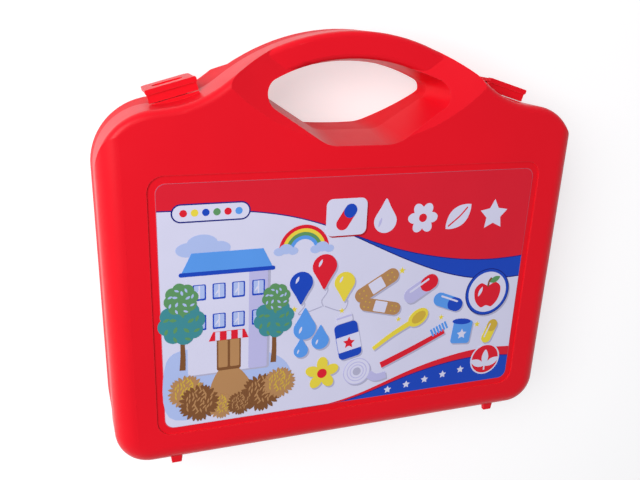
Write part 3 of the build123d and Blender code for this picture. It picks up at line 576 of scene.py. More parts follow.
# the grounds: red above, a blue ribbon under it, red and blue waves below
paper_edge = print_edge(-1)
red_edge = wave(58.0, 19.0, -0.05, 0.42, -5.0)
ribbon_growth = wave(-1.6, 14.4, 0.35, 0.40)
ribbon_edge = lifted_curve(red_edge, lambda across: -max(0.0, ribbon_growth(across)))
field("white", paper_edge, print_edge(1), layer=0)
field("navy", lifted_curve(ribbon_edge, -0.7), print_edge(1), layer=1)
field("blue", ribbon_edge, print_edge(1), layer=2)
field("navy", lifted_curve(red_edge, -0.6), print_edge(1), layer=3)
field("red", red_edge, print_edge(1), layer=4)
low_wave = wave(-74.0, -51.0, 0.20, 0.30, 3.5)
field("red", paper_edge, low_wave, start=-0.35, layer=2)
for name, start, gap, layer in (("navy", -0.28, 1.2, 3), ("blue", -0.26, 1.8, 4)):
    under_red = lifted_curve(low_wave, lambda across: -gap - 5.0 * max(across, 0.0))
    field(name, paper_edge, under_red, start=start, layer=layer)

# five white signs along the red field, the first in a white tag
tag_x, tag_y, sign_pitch = -8.0, 48.0, 24.5
ink("deep_red", slab(tag_x + 0.9, tag_y - 0.9, 25, 22, 4), 5)
ink("white", slab(tag_x, tag_y, 25, 22, 4), 6)
ink("red", slab(tag_x, tag_y, 7.6, 17, 3.8, -32), 7)
ink("blue", turned(slab(0, 4.2, 7.6, 8.6, 3.8), tag_x, tag_y, -32), 8)
sign_x = [tag_x + sign_pitch * (i + 1) for i in range(4)]
ink("white", drop(sign_x[0], 44, 14.5), 6)
ink("lavender", blade(sign_x[0] - 4.2, 40.5, 6.0, 1.6, 72), 7)
for degrees in range(0, 360, 60):
    petal = turned([(5.6, 0)], sign_x[1], 44.5, degrees)[0]
    ink("white", oval(*petal, 8.4, 6.6, degrees), 6)
ink("red", oval(sign_x[1], 44.5, 5.2), 7)
ink("white", blade(sign_x[2] - 8.5, 36.5, 22, 12, 42), 6)
ink("red", stroke([(sign_x[2] - 7, 38), (sign_x[2] + 0.5, 44), (sign_x[2] + 5.5, 49.5)], 0.9), 7)
ink("white", burst(sign_x[3], 43.5, 20, 0.52), 6)

# a white tag with coloured dots at the upper left
ink("navy", slab(-86, 55.5, 43, 10.4, 5.2), 5)
ink("white", slab(-86, 55.5, 41.4, 8.8, 4.4), 6)
dots = ("red", "yellow", "blue", "leaf", "red", "light_blue")
for i, dot in enumerate(dots):
    ink(dot, oval(-101 + 6 * i, 55.5, 4.0), 7)

# the picture at the left: a little health centre between trees and bushes
hill = [
    (-112, -30), (-96, -23), (-76, -25), (-58, -29), (-43, -38),
    (-38, -52), (-48, -62), (-80, -66), (-111, -65),
]
ink("pale_blue", curve_through(hill), 1)
for x, y, size in ((-99, 35, 13), (-91, 38, 17), (-82, 35, 13)):
    ink("pale_blue", oval(x, y, size, 0.62 * size), 2)
ink("shadow", slab(-76, -10, 47, 62, 1.5), 2)
ink("white", slab(-77, -9, 46, 62, 1.5), 3)
ink("lavender", slab(-59.5, -9, 11, 62, 1.0), 4)
ink("light_blue", [(-103, 21), (-51, 21), (-57, 33), (-97, 33)], 4)
ink("blue", slab(-77, 21, 54, 2.4, 1.0), 5)
for floor_y in (10, -8):
    for window_x in (-93, -82, -71, -59.5):
        ink("blue", slab(window_x, floor_y, 7.4, 9.4, 0.8), 5)
        ink("pale_blue", slab(window_x, floor_y + 0.3, 5.8, 7.8, 0.5), 6)
        ink("white", slab(window_x, floor_y + 0.3, 0.8, 7.8), 7)
        ink("white", blade(window_x - 2.2, floor_y - 2.2, 4.6, 1.0, 55), 8)
ink("brown", slab(-76.5, -29, 14, 20, 1.2), 5)
ink("tan", slab(-79.9, -28.6, 5.4, 17, 0.8), 6)
ink("tan", slab(-73.1, -28.6, 5.4, 17, 0.8), 6)
ink("red", [(-88, -20), (-65, -20), (-67.5, -14.5), (-85.5, -14.5)], 7)
for i in range(3):
    ink("white", slab(-83 + 6.5 * i, -17.3, 2.6, 5.2), 8)
ink("tan", curve_through([(-83, -39.5), (-70, -39.5), (-60, -62), (-88, -63)]), 3)
for x, foot in ((-103, -36), (-50, -38)):
    ink("brown", stroke([(x, foot), (x + 0.4, foot + 10), (x, foot + 22)], 3.4, 2.0), 5)


def tree_crown(x, y, size, tone, light, layer):
    """A leafy crown: a ring of round tufts with light leaves on them."""
    ink(tone, oval(x, y, size * 0.8), layer)
    for degrees in range(10, 370, 45):
        tuft_x, tuft_y = turned([(size * 0.32, 0)], x, y, degrees)[0]
        ink(tone, oval(tuft_x, tuft_y, size * 0.42), layer)
        leaf = blade(tuft_x, tuft_y - size * 0.05, size * 0.16, size * 0.07, degrees + 60)
        ink(light, leaf, layer + 1)
    for degrees in range(0, 360, 72):
        leaf_x, leaf_y = turned([(size * 0.13, 0)], x, y, degrees)[0]
        ink(light, blade(leaf_x, leaf_y, size * 0.17, size * 0.08, degrees + 30), layer + 1)


def grass_tuft(x, y, size, tone, light, layer):
    """A round tuft of dry grass, with blades all round and over it."""
    for i in range(26):
        lean = 360 * i / 26
        root_x, root_y = turned([(size * 0.30, 0)], x, y, lean)[0]
        ink(tone, blade(root_x, root_y, size * 0.30, size * 0.12, lean + 9 * math.sin(5 * i)), layer)
    ink(tone, oval(x, y, size * 0.86), layer)
    for i in range(34):
        reach, lean = size * 0.40 * math.sqrt((i + 0.5) / 34), 137.5 * i
        root_x, root_y = turned([(reach, 0)], x, y, lean)[0]
        straw = blade(root_x, root_y, size * 0.17, size * 0.045, 75 + 35 * math.sin(lean))
        ink(light, straw, layer + 1)


for x, y, size in ((-103, -7, 25), (-50, -10, 23)):
    tree_crown(x, y, size, "teal", "leaf", 9)
for x, y, size in ((-103, 7, 18), (-49, 3, 16)):
    tree_crown(x, y, size, "leaf", "pale_blue", 11)
grass_tuft(-101, -50, 18, "tan", "straw", 7)
grass_tuft(-94, -58, 20, "brown", "tan", 9)
grass_tuft(-81, -62, 14, "tan", "straw", 7)
grass_tuft(-70, -62, 13, "brown", "tan", 9)
grass_tuft(-57, -57, 21, "brown", "tan", 7)
grass_tuft(-46, -52, 17, "tan", "straw", 9)


shadow_x, shadow_y = 0.9, -1.1


def cast(name, outline, layer):
    """Prints a shape with a soft printed shadow under it."""
    ink("shadow", [(x + shadow_x, y + shadow_y) for x, y in outline], 2)
    ink(name, outline, layer)


def pill(x, y, length, width, degrees, first, second):
    """A two-colour capsule with a glint."""
    cast(first, slab(x, y, length, width, width / 2, degrees), 3)
    end = turned([(length / 4, 0)], x, y, degrees)[0]
    ink(second, slab(*end, length / 2, width, width / 2, degrees), 4)
    shine = turned([(0, width / 4)], x, y, degrees)[0]
    ink("white", slab(*shine, length * 0.6, width * 0.13, width, degrees), 5)


def plaster(x, y, length, degrees):
    """A sticking plaster with its pad and its air holes."""
    cast("tan", slab(x, y, length, length * 0.30, length * 0.15, degrees), 3)
    ink("white", slab(x, y, length * 0.30, length * 0.25, 0.5, degrees), 4)
    for along in (-0.38, -0.28, 0.28, 0.38):
        for across in (-0.06, 0.06):
            air_hole = turned([(length * along, length * across)], x, y, degrees)[0]
            ink("straw", oval(*air_hole, 1.0, steps=10), 4)


def balloon(x, y, size, colour, knot_x, knot_y):
    """A balloon on a string."""
    string = stroke([(x, y - size / 2), (x + 2.5, y - size), (x - 1, y - size * 1.4), (knot_x, knot_y)], 0.6)
    ink("shadow", string, 3)
    cast(colour, turned(drop(0, 0, size), x, y, 180), 5)
    ink("white", blade(x - size / 4, y, size / 3, size / 9, 65), 6)


def badge(x, y, size):
    """A round badge with a blue ring, for a sign in its middle."""
    cast("navy", oval(x, y, size), 3)
    ink("blue", oval(x, y, size * 0.965), 4)
    ink("white", oval(x, y, size * 0.86), 5)


# round badges: an apple at the right, leaves in the lower corner
apple_x, apple_y, apple = 92.0, -8.0, 32.0
badge(apple_x, apple_y, apple)
right_side = [(5.2, 7.0), (9.4, 3.0), (8.4, -4.6), (4.0, -9.6)]
fruit = [(0, 5.0), *right_side, (0, -8.6), *((-x, y) for x, y in right_side[::-1])]
ink("red", curve_through(turned(fruit, apple_x, apple_y - 0.6)), 6)
ink("white", blade(apple_x - 6.6, apple_y - 2.5, 7.0, 2.2, 68), 7)
ink("brown", stroke(turned([(0, 3.6), (0.4, 7.0), (2.0, 9.6)], apple_x, apple_y), 1.3), 7)
ink("leaf", blade(apple_x + 1.0, apple_y + 6.6, 8.0, 4.0, 24), 7)
corner_x, corner_y = 96.0, -56.0
ink("white", oval(corner_x, corner_y, 22), 5)
ink("red", oval(corner_x, corner_y, 20), 6)
for degrees in (25, 90, 155):
    ink("white", blade(corner_x, corner_y - 5, 12, 5.0, degrees), 7)
ink("white", stroke(turned([(0, -8), (0, -5.5), (0, -3)], corner_x, corner_y), 1.1), 7)
for i in range(5):
    ink("white", burst(26.0 + 13 * i, -68.0 + 1.7 * i, 5.4, 0.5), 6)


def arch(x, y, outer, inner, steps=32):
    """The upper half of a ring."""
    angles = [math.pi * i / steps for i in range(steps + 1)]
    far = [(x + outer * math.cos(a), y + outer * math.sin(a)) for a in angles]
    near = [(x + inner * math.cos(a), y + inner * math.sin(a)) for a in angles]
    return far + near[::-1]


# a rainbow between two clouds, over the balloons
rainbow_x, rainbow_y, rainbow_radius, band_width = -33.0, 30.0, 15.0, 2.1
for i, band in enumerate(("red", "yellow", "leaf", "light_blue")):
    outer = rainbow_radius - i * band_width
    ink(band, arch(rainbow_x, rainbow_y, outer, outer - band_width), 3)
for side in (-1, 1):
    cloud_x = rainbow_x + side * (rainbow_radius - 2 * band_width)
    for x, y, size in ((-4.0, 0.0, 6.4), (0.0, 1.4, 8.0), (4.2, 0.0, 6.0)):
        ink("pale_blue", oval(cloud_x + x, rainbow_y + y, size, size * 0.75), 4)

# small printed things between the pictures, slanting as if strewn
balloon(-20, 19, 15, "red", -20, -6)
balloon(-34, 10, 14, "blue", -21, -6)
balloon(-7, 8, 13, "yellow", -19, -6)
plaster(14, 4, 31, 30)
plaster(17, -10, 28, -14)
pill(44, -1, 25, 10.0, 32, "lavender", "red")
pill(64, -12, 22, 9.0, -22, "light_blue", "blue")
pill(97, -36, 17, 7.4, 68, "yellow", "straw")
for x, y, size in ((-31, -19, 14), (-21, -28, 11), (-33, -33, 9)):
    cast("light_blue", drop(x, y, size), 4)
    ink("white", blade(x - size / 4, y - size / 5, size / 3, size / 9, 70), 5)
cast("blue", slab(-3, -30, 15, 24, 3.0, 12), 4)
ink("white", slab(-2.4, -31.6, 15, 10.4, 0.4, 12), 5)
ink("red", burst(-2.4, -31.6, 8.0, 0.5), 6)
cast("white", slab(-6.2, -15.2, 10.4, 5.6, 1.2, 12), 4)
ink("lavender", slab(-6.4, -14.4, 10.0, 1.2, 0.4, 12), 5)
cast("yellow", stroke([(14, -38), (26, -30), (39, -23)], 2.6, 3.6), 4)
cast("yellow", oval(43.6, -20.2, 15, 10.4, 36), 5)
ink("straw", oval(44.0, -20.1, 10.6, 6.6, 36), 6)
cast("red", stroke([(20, -50), (40, -42), (63, -32)], 4.2, 3.2), 4)
for i in range(6):
    ink("light_blue", slab(54.5 + 1.9 * i, -32.2 + 0.9 * i, 1.3, 5.4, 0.4, 26), 5)
cast("light_blue", slab(76, -34, 14, 16, 2.0, -6), 4)
ink("blue", oval(75.3, -26.6, 13.4, 4.0, -6), 5)
ink("white", burst(76.2, -35.6, 7.4, 0.5), 5)
for degrees in range(18, 378, 72):
    petal = turned([(6.2, 0)], -19, -50, degrees)[0]
    cast("yellow", oval(*petal, 9.6, 7.0, degrees), 4)
ink("red", oval(-19, -50, 6.2), 5)
cast("lavender", oval(4, -52, 18), 3)
ink("white", oval(4, -52, 17), 4)
for size in (13.4, 9.4):
    ink("lavender", oval(4, -52, size), 4, oval(4, -52, size - 1.2))
ink("shadow", oval(4, -52, 5.4), 4)
cast("lavender", stroke([(12, -55), (17, -58), (24, -57)], 5.4, 4.6), 3)
small_stars = ((30, 12, 4.6), (30, -20, 3.6), (87, -30, 4.4), (-38, -6, 4.2), (-8, -10, 3.8), (60, -22, 3.8))
for x, y, size in small_stars:
    ink("yellow", burst(x, y, size, 0.45), 4)

# the inks' fine dots and blotches, and the waves and handling marks of the film
ink_print, print_in, print_out = shader_group(
    "ink_print",
    [("Place", VECTOR, None), ("Dot Size", FLOAT, 0.00035)],
    [("Tone", FLOAT), ("Gloss", FLOAT), ("Height", FLOAT)],
)
per_dot = shader_node(ink_print, "Math", {0: 1.0}, operation="DIVIDE")
halftone = shader_node(ink_print, "TexVoronoi", {"Randomness": 0.25}, feature="F1")
blotches = shader_node(ink_print, "TexNoise", {"Scale": 26.0, "Detail": 3.0})
both_tones = shader_node(ink_print, "Mix", {"Factor": 0.65}, data_type="FLOAT")
wave_look = {"Scale": 34.0, "Detail": 2.0, "Distortion": 0.4}
film_waves = shader_node(ink_print, "TexNoise", wave_look)
handling_look = {"Scale": 90.0, "Detail": 5.0, "Roughness": 0.65}
handling = shader_node(ink_print, "TexNoise", handling_look)
join(
    ink_print,
    (print_in, "Dot Size", per_dot, 1),
    (print_in, "Place", halftone, "Vector"),
    (per_dot, 0, halftone, "Scale"),
    (print_in, "Place", blotches, "Vector"),
    (halftone, "Distance", both_tones, 2),
    (blotches, 0, both_tones, 3),
    (both_tones, 0, print_out, "Tone"),
    (print_in, "Place", handling, "Vector"),
    (handling, 0, print_out, "Gloss"),
    (print_in, "Place", film_waves, "Vector"),
    (film_waves, 0, print_out, "Height"),
)

film_specular = 0.35
thin_ink, full_ink = 0.90, 1.07
film_gloss = (0.16, 0.30)


def printed_under_film(name, colour):
    """Ink or paper under the label's clear film."""
    material, tree, shader, place = new_material(name, film_specular)
    printing = shader_node(tree, "Group", node_tree=ink_print)
    thin = [thin_ink * channel for channel in colour]
    full = [min(full_ink * channel, 1.0) for channel in colour]
    tone = blend(tree, thin, full)
    polish = shader_node(tree, "MapRange", {"To Min": film_gloss[0], "To Max": film_gloss[1]})
    bump = shader_node(tree, "Bump", {"Strength": 0.6, "Distance": 0.0002})
    join(
        tree,
        (place, "Object", printing, "Place"),
        (printing, "Tone", tone, 0),
        (tone, 2, shader, "Base Color"),
        (printing, "Gloss", polish, "Value"),
        (polish, 0, shader, "Roughness"),
        (printing, "Height", bump, "Height"),
        (bump, 0, shader, "Normal"),
    )
    return material


label_paper = (0.68, 0.68, 0.86)
label_edge = (0.60, 0.10, 0.15)
finish(printed_under_film("label_paper", label_edge), "front_label")
for colour_name, mesh in ink_meshes.items():
    name = f"ink_{colour_name}"
    colour = label_paper if colour_name == "white" else ink_colours[colour_name]
    dressed(name, mesh, printed_under_film(name, colour), "lid")

# ----------------------------------------
# Instrument tray: one sheet of white polystyrene, drawn by vacuum over a mould,
# satin and a little uneven where the sheet has stretched into the pockets.
tray_plastic = moulded_plastic(
    "tray_white_sheet", (0.78, 0.79, 0.81), (0.32, 0.50), grain_size=0.0012, grain_depth=0.00004, pale=0.5
)
finish(tray_plastic, "instrument_tray")

# ----------------------------------------
# Syringe: a clear blue barrel with white printed graduations, and a red plunger
# of cross section with a thumb disc. Both are injection-moulded.
along_x, upward = (1, 0, 0), (0, 0, 1)
fine_bead, bead_sink = 0.35 * mm, 0.1 * mm
print_film = 0.06 * mm


def circle_path(centre, radius, axis, steps=48):
    """Points round an axis through a centre."""
    axis = Vector(axis)
    out = axis.orthogonal().normalized()
    side = axis.cross(out)
    turns = [2 * math.pi * i / steps for i in range(steps)]
    return [centre + radius * (math.cos(a) * out + math.sin(a) * side) for a in turns]


def bead(mesh, path, radius, axis, closed=True, sides=10):
    """A round bead along a flat path, whose plane is square to an axis."""
    axis = Vector(axis)
    rings = []
    for i, point in enumerate(path):
        ahead = path[(i + 1) % len(path)] if closed else path[min(i + 1, len(path) - 1)]
        behind = path[i - 1] if closed or i else path[0]
        sideways = (ahead - behind).cross(axis).normalized()
        ring = []
        for k in range(sides):
            a = 2 * math.pi * k / sides
            ring.append(mesh.verts.new(point + radius * (math.cos(a) * sideways + math.sin(a) * axis)))
        rings.append(ring)
    for near, far in zip(rings, rings[1:] + rings[:1] if closed else rings[1:]):
        strip(mesh, near, far)
    if not closed:
        mesh.faces.new(rings[0])
        mesh.faces.new(rings[-1][::-1])


def ring_beads(mesh, centres, radii, axis, thickness):
    """Round beads in circles round an axis: one of each radius round each centre."""
    for centre in centres:
        for radius in radii:
            bead(mesh, circle_path(centre, radius, axis), thickness, axis)


def wrapped_mark(mesh, centre, axis, along, length, start, end, radius, steps=12):
    """A printed mark on a round wall, between two angles round its axis."""
    axis = Vector(axis)
    top = Vector(upward) if abs(axis.z) < 0.5 else Vector(along_x)
    side = axis.cross(top)
    outer = radius + print_film
    corners = ((along, radius), (along + length, radius), (along + length, outer), (along, outer))
    rings = []
    for i in range(steps + 1):
        a = math.radians(start + (end - start) * i / steps)
        out = math.cos(a) * top + math.sin(a) * side
        rings.append([mesh.verts.new(centre + step * axis + reach * out) for step, reach in corners])
    for near, far in zip(rings, rings[1:]):
        strip(mesh, near, far)
    mesh.faces.new(rings[0])
    mesh.faces.new(rings[-1][::-1])


barrel_blue, barrel_gloss = (0.22, 0.42, 0.95), (0.06, 0.16)
barrel_plastic = moulded_plastic(
    "clear_blue_plastic", barrel_blue, barrel_gloss, grain_depth=0.000004,
    pale=0.3, IOR=1.46, Transmission_Weight=0.72,
)
toy_gloss = (0.16, 0.30)
red_toy_plastic = moulded_plastic("toy_red_plastic", (0.72, 0.010, 0.016), toy_gloss)
white_toy_plastic = moulded_plastic("toy_white_plastic", (0.80, 0.81, 0.84), toy_gloss)
blue_toy_plastic = moulded_plastic("toy_blue_plastic", (0.014, 0.060, 0.50), toy_gloss)
yellow_toy_plastic = moulded_plastic("toy_yellow_plastic", (0.84, 0.58, 0.030), toy_gloss)
white_ink = printed_under_film("toy_white_ink", (0.80, 0.80, 0.84))
blue_ink = printed_under_film("toy_blue_ink", (0.012, 0.050, 0.42))
red_ink = printed_under_film("toy_red_ink", (0.66, 0.012, 0.026))
green_ink = printed_under_film("toy_green_ink", (0.05, 0.34, 0.08))
yellow_ink = printed_under_film("toy_yellow_ink", (0.80, 0.58, 0.04))
black_ink = printed_under_film("toy_black_ink", (0.018, 0.018, 0.022))

finish(barrel_plastic, "syringe_barrel")
finish(red_toy_plastic, "syringe_plunger")
barrel_low, barrel_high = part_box("syringe_barrel")
barrel_axis = Vector((0, (barrel_low.y + barrel_high.y) / 2, (barrel_low.z + barrel_high.z) / 2))
barrel_radius = (barrel_high.z - barrel_low.z) / 2
marks, mark_pitch, mark_width, marks_from_end = 12, 4.5 * mm, 0.6 * mm, 12 * mm
scale_start, long_mark, short_mark, scale_spine = -30, 46, 28, 4
first_mark = barrel_high.x - marks_from_end
scale_length = (marks - 1) * mark_pitch
graduations = bmesh.new()
for i in range(marks):
    along = first_mark - i * mark_pitch
    end = scale_start + (short_mark if i % 3 else long_mark)
    wrapped_mark(graduations, barrel_axis, along_x, along, mark_width, scale_start, end, barrel_radius)
wrapped_mark(
    graduations, barrel_axis, along_x, first_mark - scale_length, scale_length + mark_width,
    scale_start - scale_spine, scale_start, barrel_radius,
)
dressed("syringe_graduations", graduations, white_ink, "base")
grips_from_tip = (13.6 * mm, 16.9 * mm)
grip_centres = [barrel_axis + Vector((barrel_low.x + from_tip, 0, 0)) for from_tip in grips_from_tip]
grip_rings = bmesh.new()
ring_beads(grip_rings, grip_centres, [barrel_radius - bead_sink], along_x, fine_bead)
dressed("syringe_grip_rings", grip_rings, barrel_plastic, "base")
thumb_centre = barrel_axis + Vector((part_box("syringe_plunger")[1].x, 0, 0))
thumb_rings = bmesh.new()
ring_beads(thumb_rings, [thumb_centre], (3.0 * mm, 5.4 * mm), along_x, fine_bead)
dressed("plunger_thumb_rings", thumb_rings, red_toy_plastic, "plunger")


# ----------------------------------------
# Pill jar: a white moulded pot with a printed paper band round it, and a blue
# fluted cap that pulls off, with rings and short ribs on its top.
def top_of(node_name):
    """Middle of the top of a node's box."""
    low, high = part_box(node_name)
    return Vector(((low.x + high.x) / 2, (low.y + high.y) / 2, high.z))


def spoke(mesh, centre, inner, outer, degrees, thickness, sides=10):
    """A straight rib on a level face, that points away from a centre."""
    out = Vector((math.cos(math.radians(degrees)), math.sin(math.radians(degrees)), 0))
    bead(mesh, [centre + inner * out, centre + outer * out], thickness, upward, closed=False, sides=sides)


finish(white_toy_plastic, "pill_jar")
finish(blue_toy_plastic, "pill_jar_cap")
jar_low, jar_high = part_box("pill_jar")
jar_radius = (jar_high.x - jar_low.x) / 2
jar_foot = Vector((*top_of("pill_jar").xy, jar_low.z))
band_low, band_height, band_end, band_steps = 5 * mm, 17 * mm, 330, 60
stripe_height, stripe_inset = 1.4 * mm, 2
jar_band = bmesh.new()
wrapped_mark(jar_band, jar_foot, upward, band_low, band_height, 0, band_end, jar_radius, band_steps)
dressed("jar_band", jar_band, blue_ink, "base")
jar_stripes = bmesh.new()
for stripe_low in (7.0 * mm, 18.6 * mm):
    wrapped_mark(
        jar_stripes, jar_foot, upward, stripe_low, stripe_height,
        stripe_inset, band_end - stripe_inset, jar_radius + print_film, band_steps,
    )
dressed("jar_stripes", jar_stripes, yellow_ink, "base")
cap_top = Vector((*jar_foot.xy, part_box("pill_jar_cap")[1].z))
small_bead, medium_bead = 0.40 * mm, 0.45 * mm
cap_rings = bmesh.new()
ring_beads(cap_rings, [cap_top], (12.4 * mm, 8.6 * mm), upward, medium_bead)
for degrees in range(0, 360, 45):
    spoke(cap_rings, cap_top, 9.6 * mm, 11.4 * mm, degrees, small_bead)
dressed("cap_rings", cap_rings, blue_toy_plastic, "jar_cap")


# ----------------------------------------
# Scissors: two blunt red halves with raised rims round the finger rings and a
# rib down the upper blade, on a blue rivet with a bar across its head.
def laid_out(plan, place):
    """A flat plan in millimetres as a path round a place."""
    return [place + Vector((x * mm, y * mm, 0)) for x, y in plan]


finish(red_toy_plastic, "scissor_lower_half", "scissor_upper_half")
finish(blue_toy_plastic, "scissor_rivet")
rivet = top_of("scissor_rivet")
ring_reach, ring_offset, rim_radii = 37.0 * mm, 13.5 * mm, (9.5 * mm, 11.7 * mm)
for half, side, body in (("lower", -1, "base"), ("upper", 1, "scissor_half")):
    half_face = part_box(f"scissor_{half}_half")[1].z
    finger_ring = Vector((rivet.x - ring_reach, rivet.y + side * ring_offset, half_face))
    rims = bmesh.new()
    ring_beads(rims, [finger_ring], rim_radii, upward, fine_bead)
    dressed(f"scissor_{half}_rims", rims, red_toy_plastic, body)
blade_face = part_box("scissor_upper_half")[1].z
rib_line = [(8, 0.6), (20, 0.5), (32, -0.1), (44, -1.2)]
rib_path = laid_out(curve_through(rib_line, closed=False), Vector((rivet.x, rivet.y, blade_face)))
blade_rib = bmesh.new()
bead(blade_rib, rib_path, medium_bead, upward, closed=False)
dressed("scissor_blade_rib", blade_rib, red_toy_plastic, "scissor_half")
bar_plan = slab(0, 0, 6.2, 1.4, 0.5, 35)
bar_rise = 0.25 * mm
rivet_bar = bmesh.new()
raise_shape(rivet_bar, bar_plan, rivet.z - bead_sink, rivet.z + bar_rise, rivet.xy)
dressed("scissor_rivet_bar", rivet_bar, blue_toy_plastic, "base")

# ----------------------------------------
# Pressure gauge: a yellow cup with a white printed dial, a red pointer on a pin
# and a clear lens snapped into the rim, whose edge is knurled.
lens_clear, lens_gloss = (0.95, 0.96, 0.97), (0.01, 0.04)
lens_plastic = moulded_plastic(
    "clear_lens_plastic", lens_clear, lens_gloss, grain_depth=0.000001,
    pale=0.0, IOR=1.46, Transmission_Weight=1.0,
)
finish(yellow_toy_plastic, "gauge_case")
finish(printed_under_film("dial_paper", (0.90, 0.91, 0.93)), "gauge_dial")
finish(red_toy_plastic, "gauge_pointer")
finish(lens_plastic, "gauge_lens")
gauge = top_of("gauge_case")
pointer_gap = 0.3 * mm
dial_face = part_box("gauge_pointer")[0].z - pointer_gap
sweep, middle_zone, zone_inner, zone_outer = 130, 50, 16.4, 18.4
tick_spaces, spaces_per_number, tick_outer = 40, 8, 21.8
long_tick, short_tick = (18.9, 0.9), (20.2, 0.45)
thin_film, thick_film = 0.03 * mm, 0.05 * mm


def dial_arc(inner, outer, start, end, steps=30):
    """A stretch of ring on the dial, in degrees from its top."""
    angles = [math.radians(start + (end - start) * i / steps) for i in range(steps + 1)]
    far = [(outer * math.sin(a), outer * math.cos(a)) for a in angles]
    near = [(inner * math.sin(a), inner * math.cos(a)) for a in angles]
    return far + near[::-1]


for zone, start, end, material, slot in (
    ("low", -sweep, -middle_zone, blue_ink, "toy_blue"),
    ("middle", -middle_zone, middle_zone, green_ink, "dial_print"),
    ("high", middle_zone, sweep, red_ink, "toy_red"),
):
    arc = bmesh.new()
    zone_plan = dial_arc(zone_inner, zone_outer, start, end)
    raise_shape(arc, zone_plan, dial_face, dial_face + thin_film, gauge.xy)
    dressed(f"dial_zone_{zone}", arc, material, "base")
ticks = bmesh.new()
for i in range(tick_spaces + 1):
    degrees = -sweep + 2 * sweep * i / tick_spaces
    inner, half = short_tick if i % spaces_per_number else long_tick
    tick_plan = dial_arc(inner, tick_outer, degrees - half, degrees + half)
    raise_shape(ticks, tick_plan, dial_face, dial_face + thick_film, gauge.xy)
dressed("dial_ticks", ticks, black_ink, "base")

number_thickness = 0.02 * mm


def printed_number(name, words, place, size, degrees, material, body):
    """A plain printed number, centred on a place."""
    curve = bpy.data.curves.new(name, "FONT")
    curve.body = words
    curve.size = size
    curve.align_x = "CENTER"
    curve.align_y = "CENTER"
    curve.extrude = number_thickness
    curve.materials.append(material)
    number = bpy.data.objects.new(name, curve)
    number.location = place
    number.rotation_euler = (0, 0, math.radians(degrees))
    bpy.context.scene.collection.objects.link(number)
    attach(number, body)


numbers, number_step, number_ring, number_size, number_lift = 6, 60, 13.2 * mm, 4.2 * mm, 0.04 * mm
for i in range(numbers):
    a = math.radians(-sweep + 2 * sweep * i / (numbers - 1))
    x, y = gauge.x + number_ring * math.sin(a), gauge.y + number_ring * math.cos(a)
    place, words = (x, y, dial_face + number_lift), str(number_step * i)
    printed_number(f"dial_number_{i}", words, place, number_size, 0, black_ink, "base")
knurl_inner, knurl_outer, knurl_pitch = 25.9 * mm, 26.9 * mm, 10
rim_centre = gauge - Vector((0, 0, bead_sink))
rim_knurls = bmesh.new()
for degrees in range(0, 360, knurl_pitch):
    spoke(rim_knurls, rim_centre, knurl_inner, knurl_outer, degrees, medium_bead, sides=8)
dressed("gauge_rim_knurls", rim_knurls, yellow_toy_plastic, "base")

# ----------------------------------------
# Writing pad: a moulded yellow board, a ruled paper sheet with boxes to tick,
# and a ribbed blue moulded clip at its head.
finish(yellow_toy_plastic, "pad_board")
finish(printed_under_film("pad_paper", (0.78, 0.78, 0.80)), "pad_sheet")
finish(blue_toy_plastic, "pad_clip")
sheet_low, sheet_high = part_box("pad_sheet")
sheet_face = sheet_high.z
lines, ticked_lines, first_line, line_pitch = 8, (0, 1, 3), 6.0 * mm, 5.2 * mm
line_y = (sheet_low.y + sheet_high.y) / 2 - 2.6 * mm
box_y = sheet_high.y - 4.4 * mm
box_shift = 1.0 * mm
line_plan = slab(0, 0, 0.35, 27.0)
box_outside, box_inside = slab(0, 0, 2.8, 2.8, 0.3), slab(0, 0, 2.1, 2.1, 0.2)
tick_plan = stroke([(0.2, 1.3), (-1.0, 0.4), (1.8, -1.6)], 0.5)
rulings, boxes, ticked = bmesh.new(), bmesh.new(), bmesh.new()
for i in range(lines):
    x = sheet_high.x - first_line - line_pitch * i
    box_place = (x + box_shift, box_y)
    raise_shape(rulings, line_plan, sheet_face, sheet_face + thin_film, (x, line_y))
    raise_shape(boxes, box_outside, sheet_face, sheet_face + thin_film, box_place, box_inside)
    if i in ticked_lines:
        raise_shape(ticked, tick_plan, sheet_face, sheet_face + thick_film, box_place)
dressed("pad_rulings", rulings, blue_ink, "base")
dressed("pad_boxes", boxes, black_ink, "base")
dressed("pad_ticks", ticked, red_ink, "base")
clip_low, clip_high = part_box("pad_clip")
clip_ribs_count, first_rib, clip_rib_pitch, rib_inset = 7, 3.6 * mm, 2.8 * mm, 2 * mm
rib_ends = (clip_low.x + rib_inset, clip_high.x - rib_inset)
clip_ribs = bmesh.new()
for i in range(clip_ribs_count):
    y = clip_low.y + first_rib + clip_rib_pitch * i
    bead(clip_ribs, [Vector((x, y, clip_high.z)) for x in rib_ends], small_bead, upward, closed=False)
dressed("pad_clip_ribs", clip_ribs, blue_toy_plastic, "base")

# ----------------------------------------
# Oval dish: a white moulded bowl with a rolled lip, which lies loose in its
# pocket.
finish(white_toy_plastic, "oval_dish")
dish_low, dish_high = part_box("oval_dish")
lip_inset, lip_bead = 1.6, 0.9 * mm
dish_size = (dish_high - dish_low) / mm
lip_plan = oval(0, 0, dish_size.x - lip_inset, dish_size.y - lip_inset, steps=72)
lip = bmesh.new()
bead(lip, laid_out(lip_plan, top_of("oval_dish")), lip_bead, upward)
dressed("dish_lip", lip, white_toy_plastic, "base")

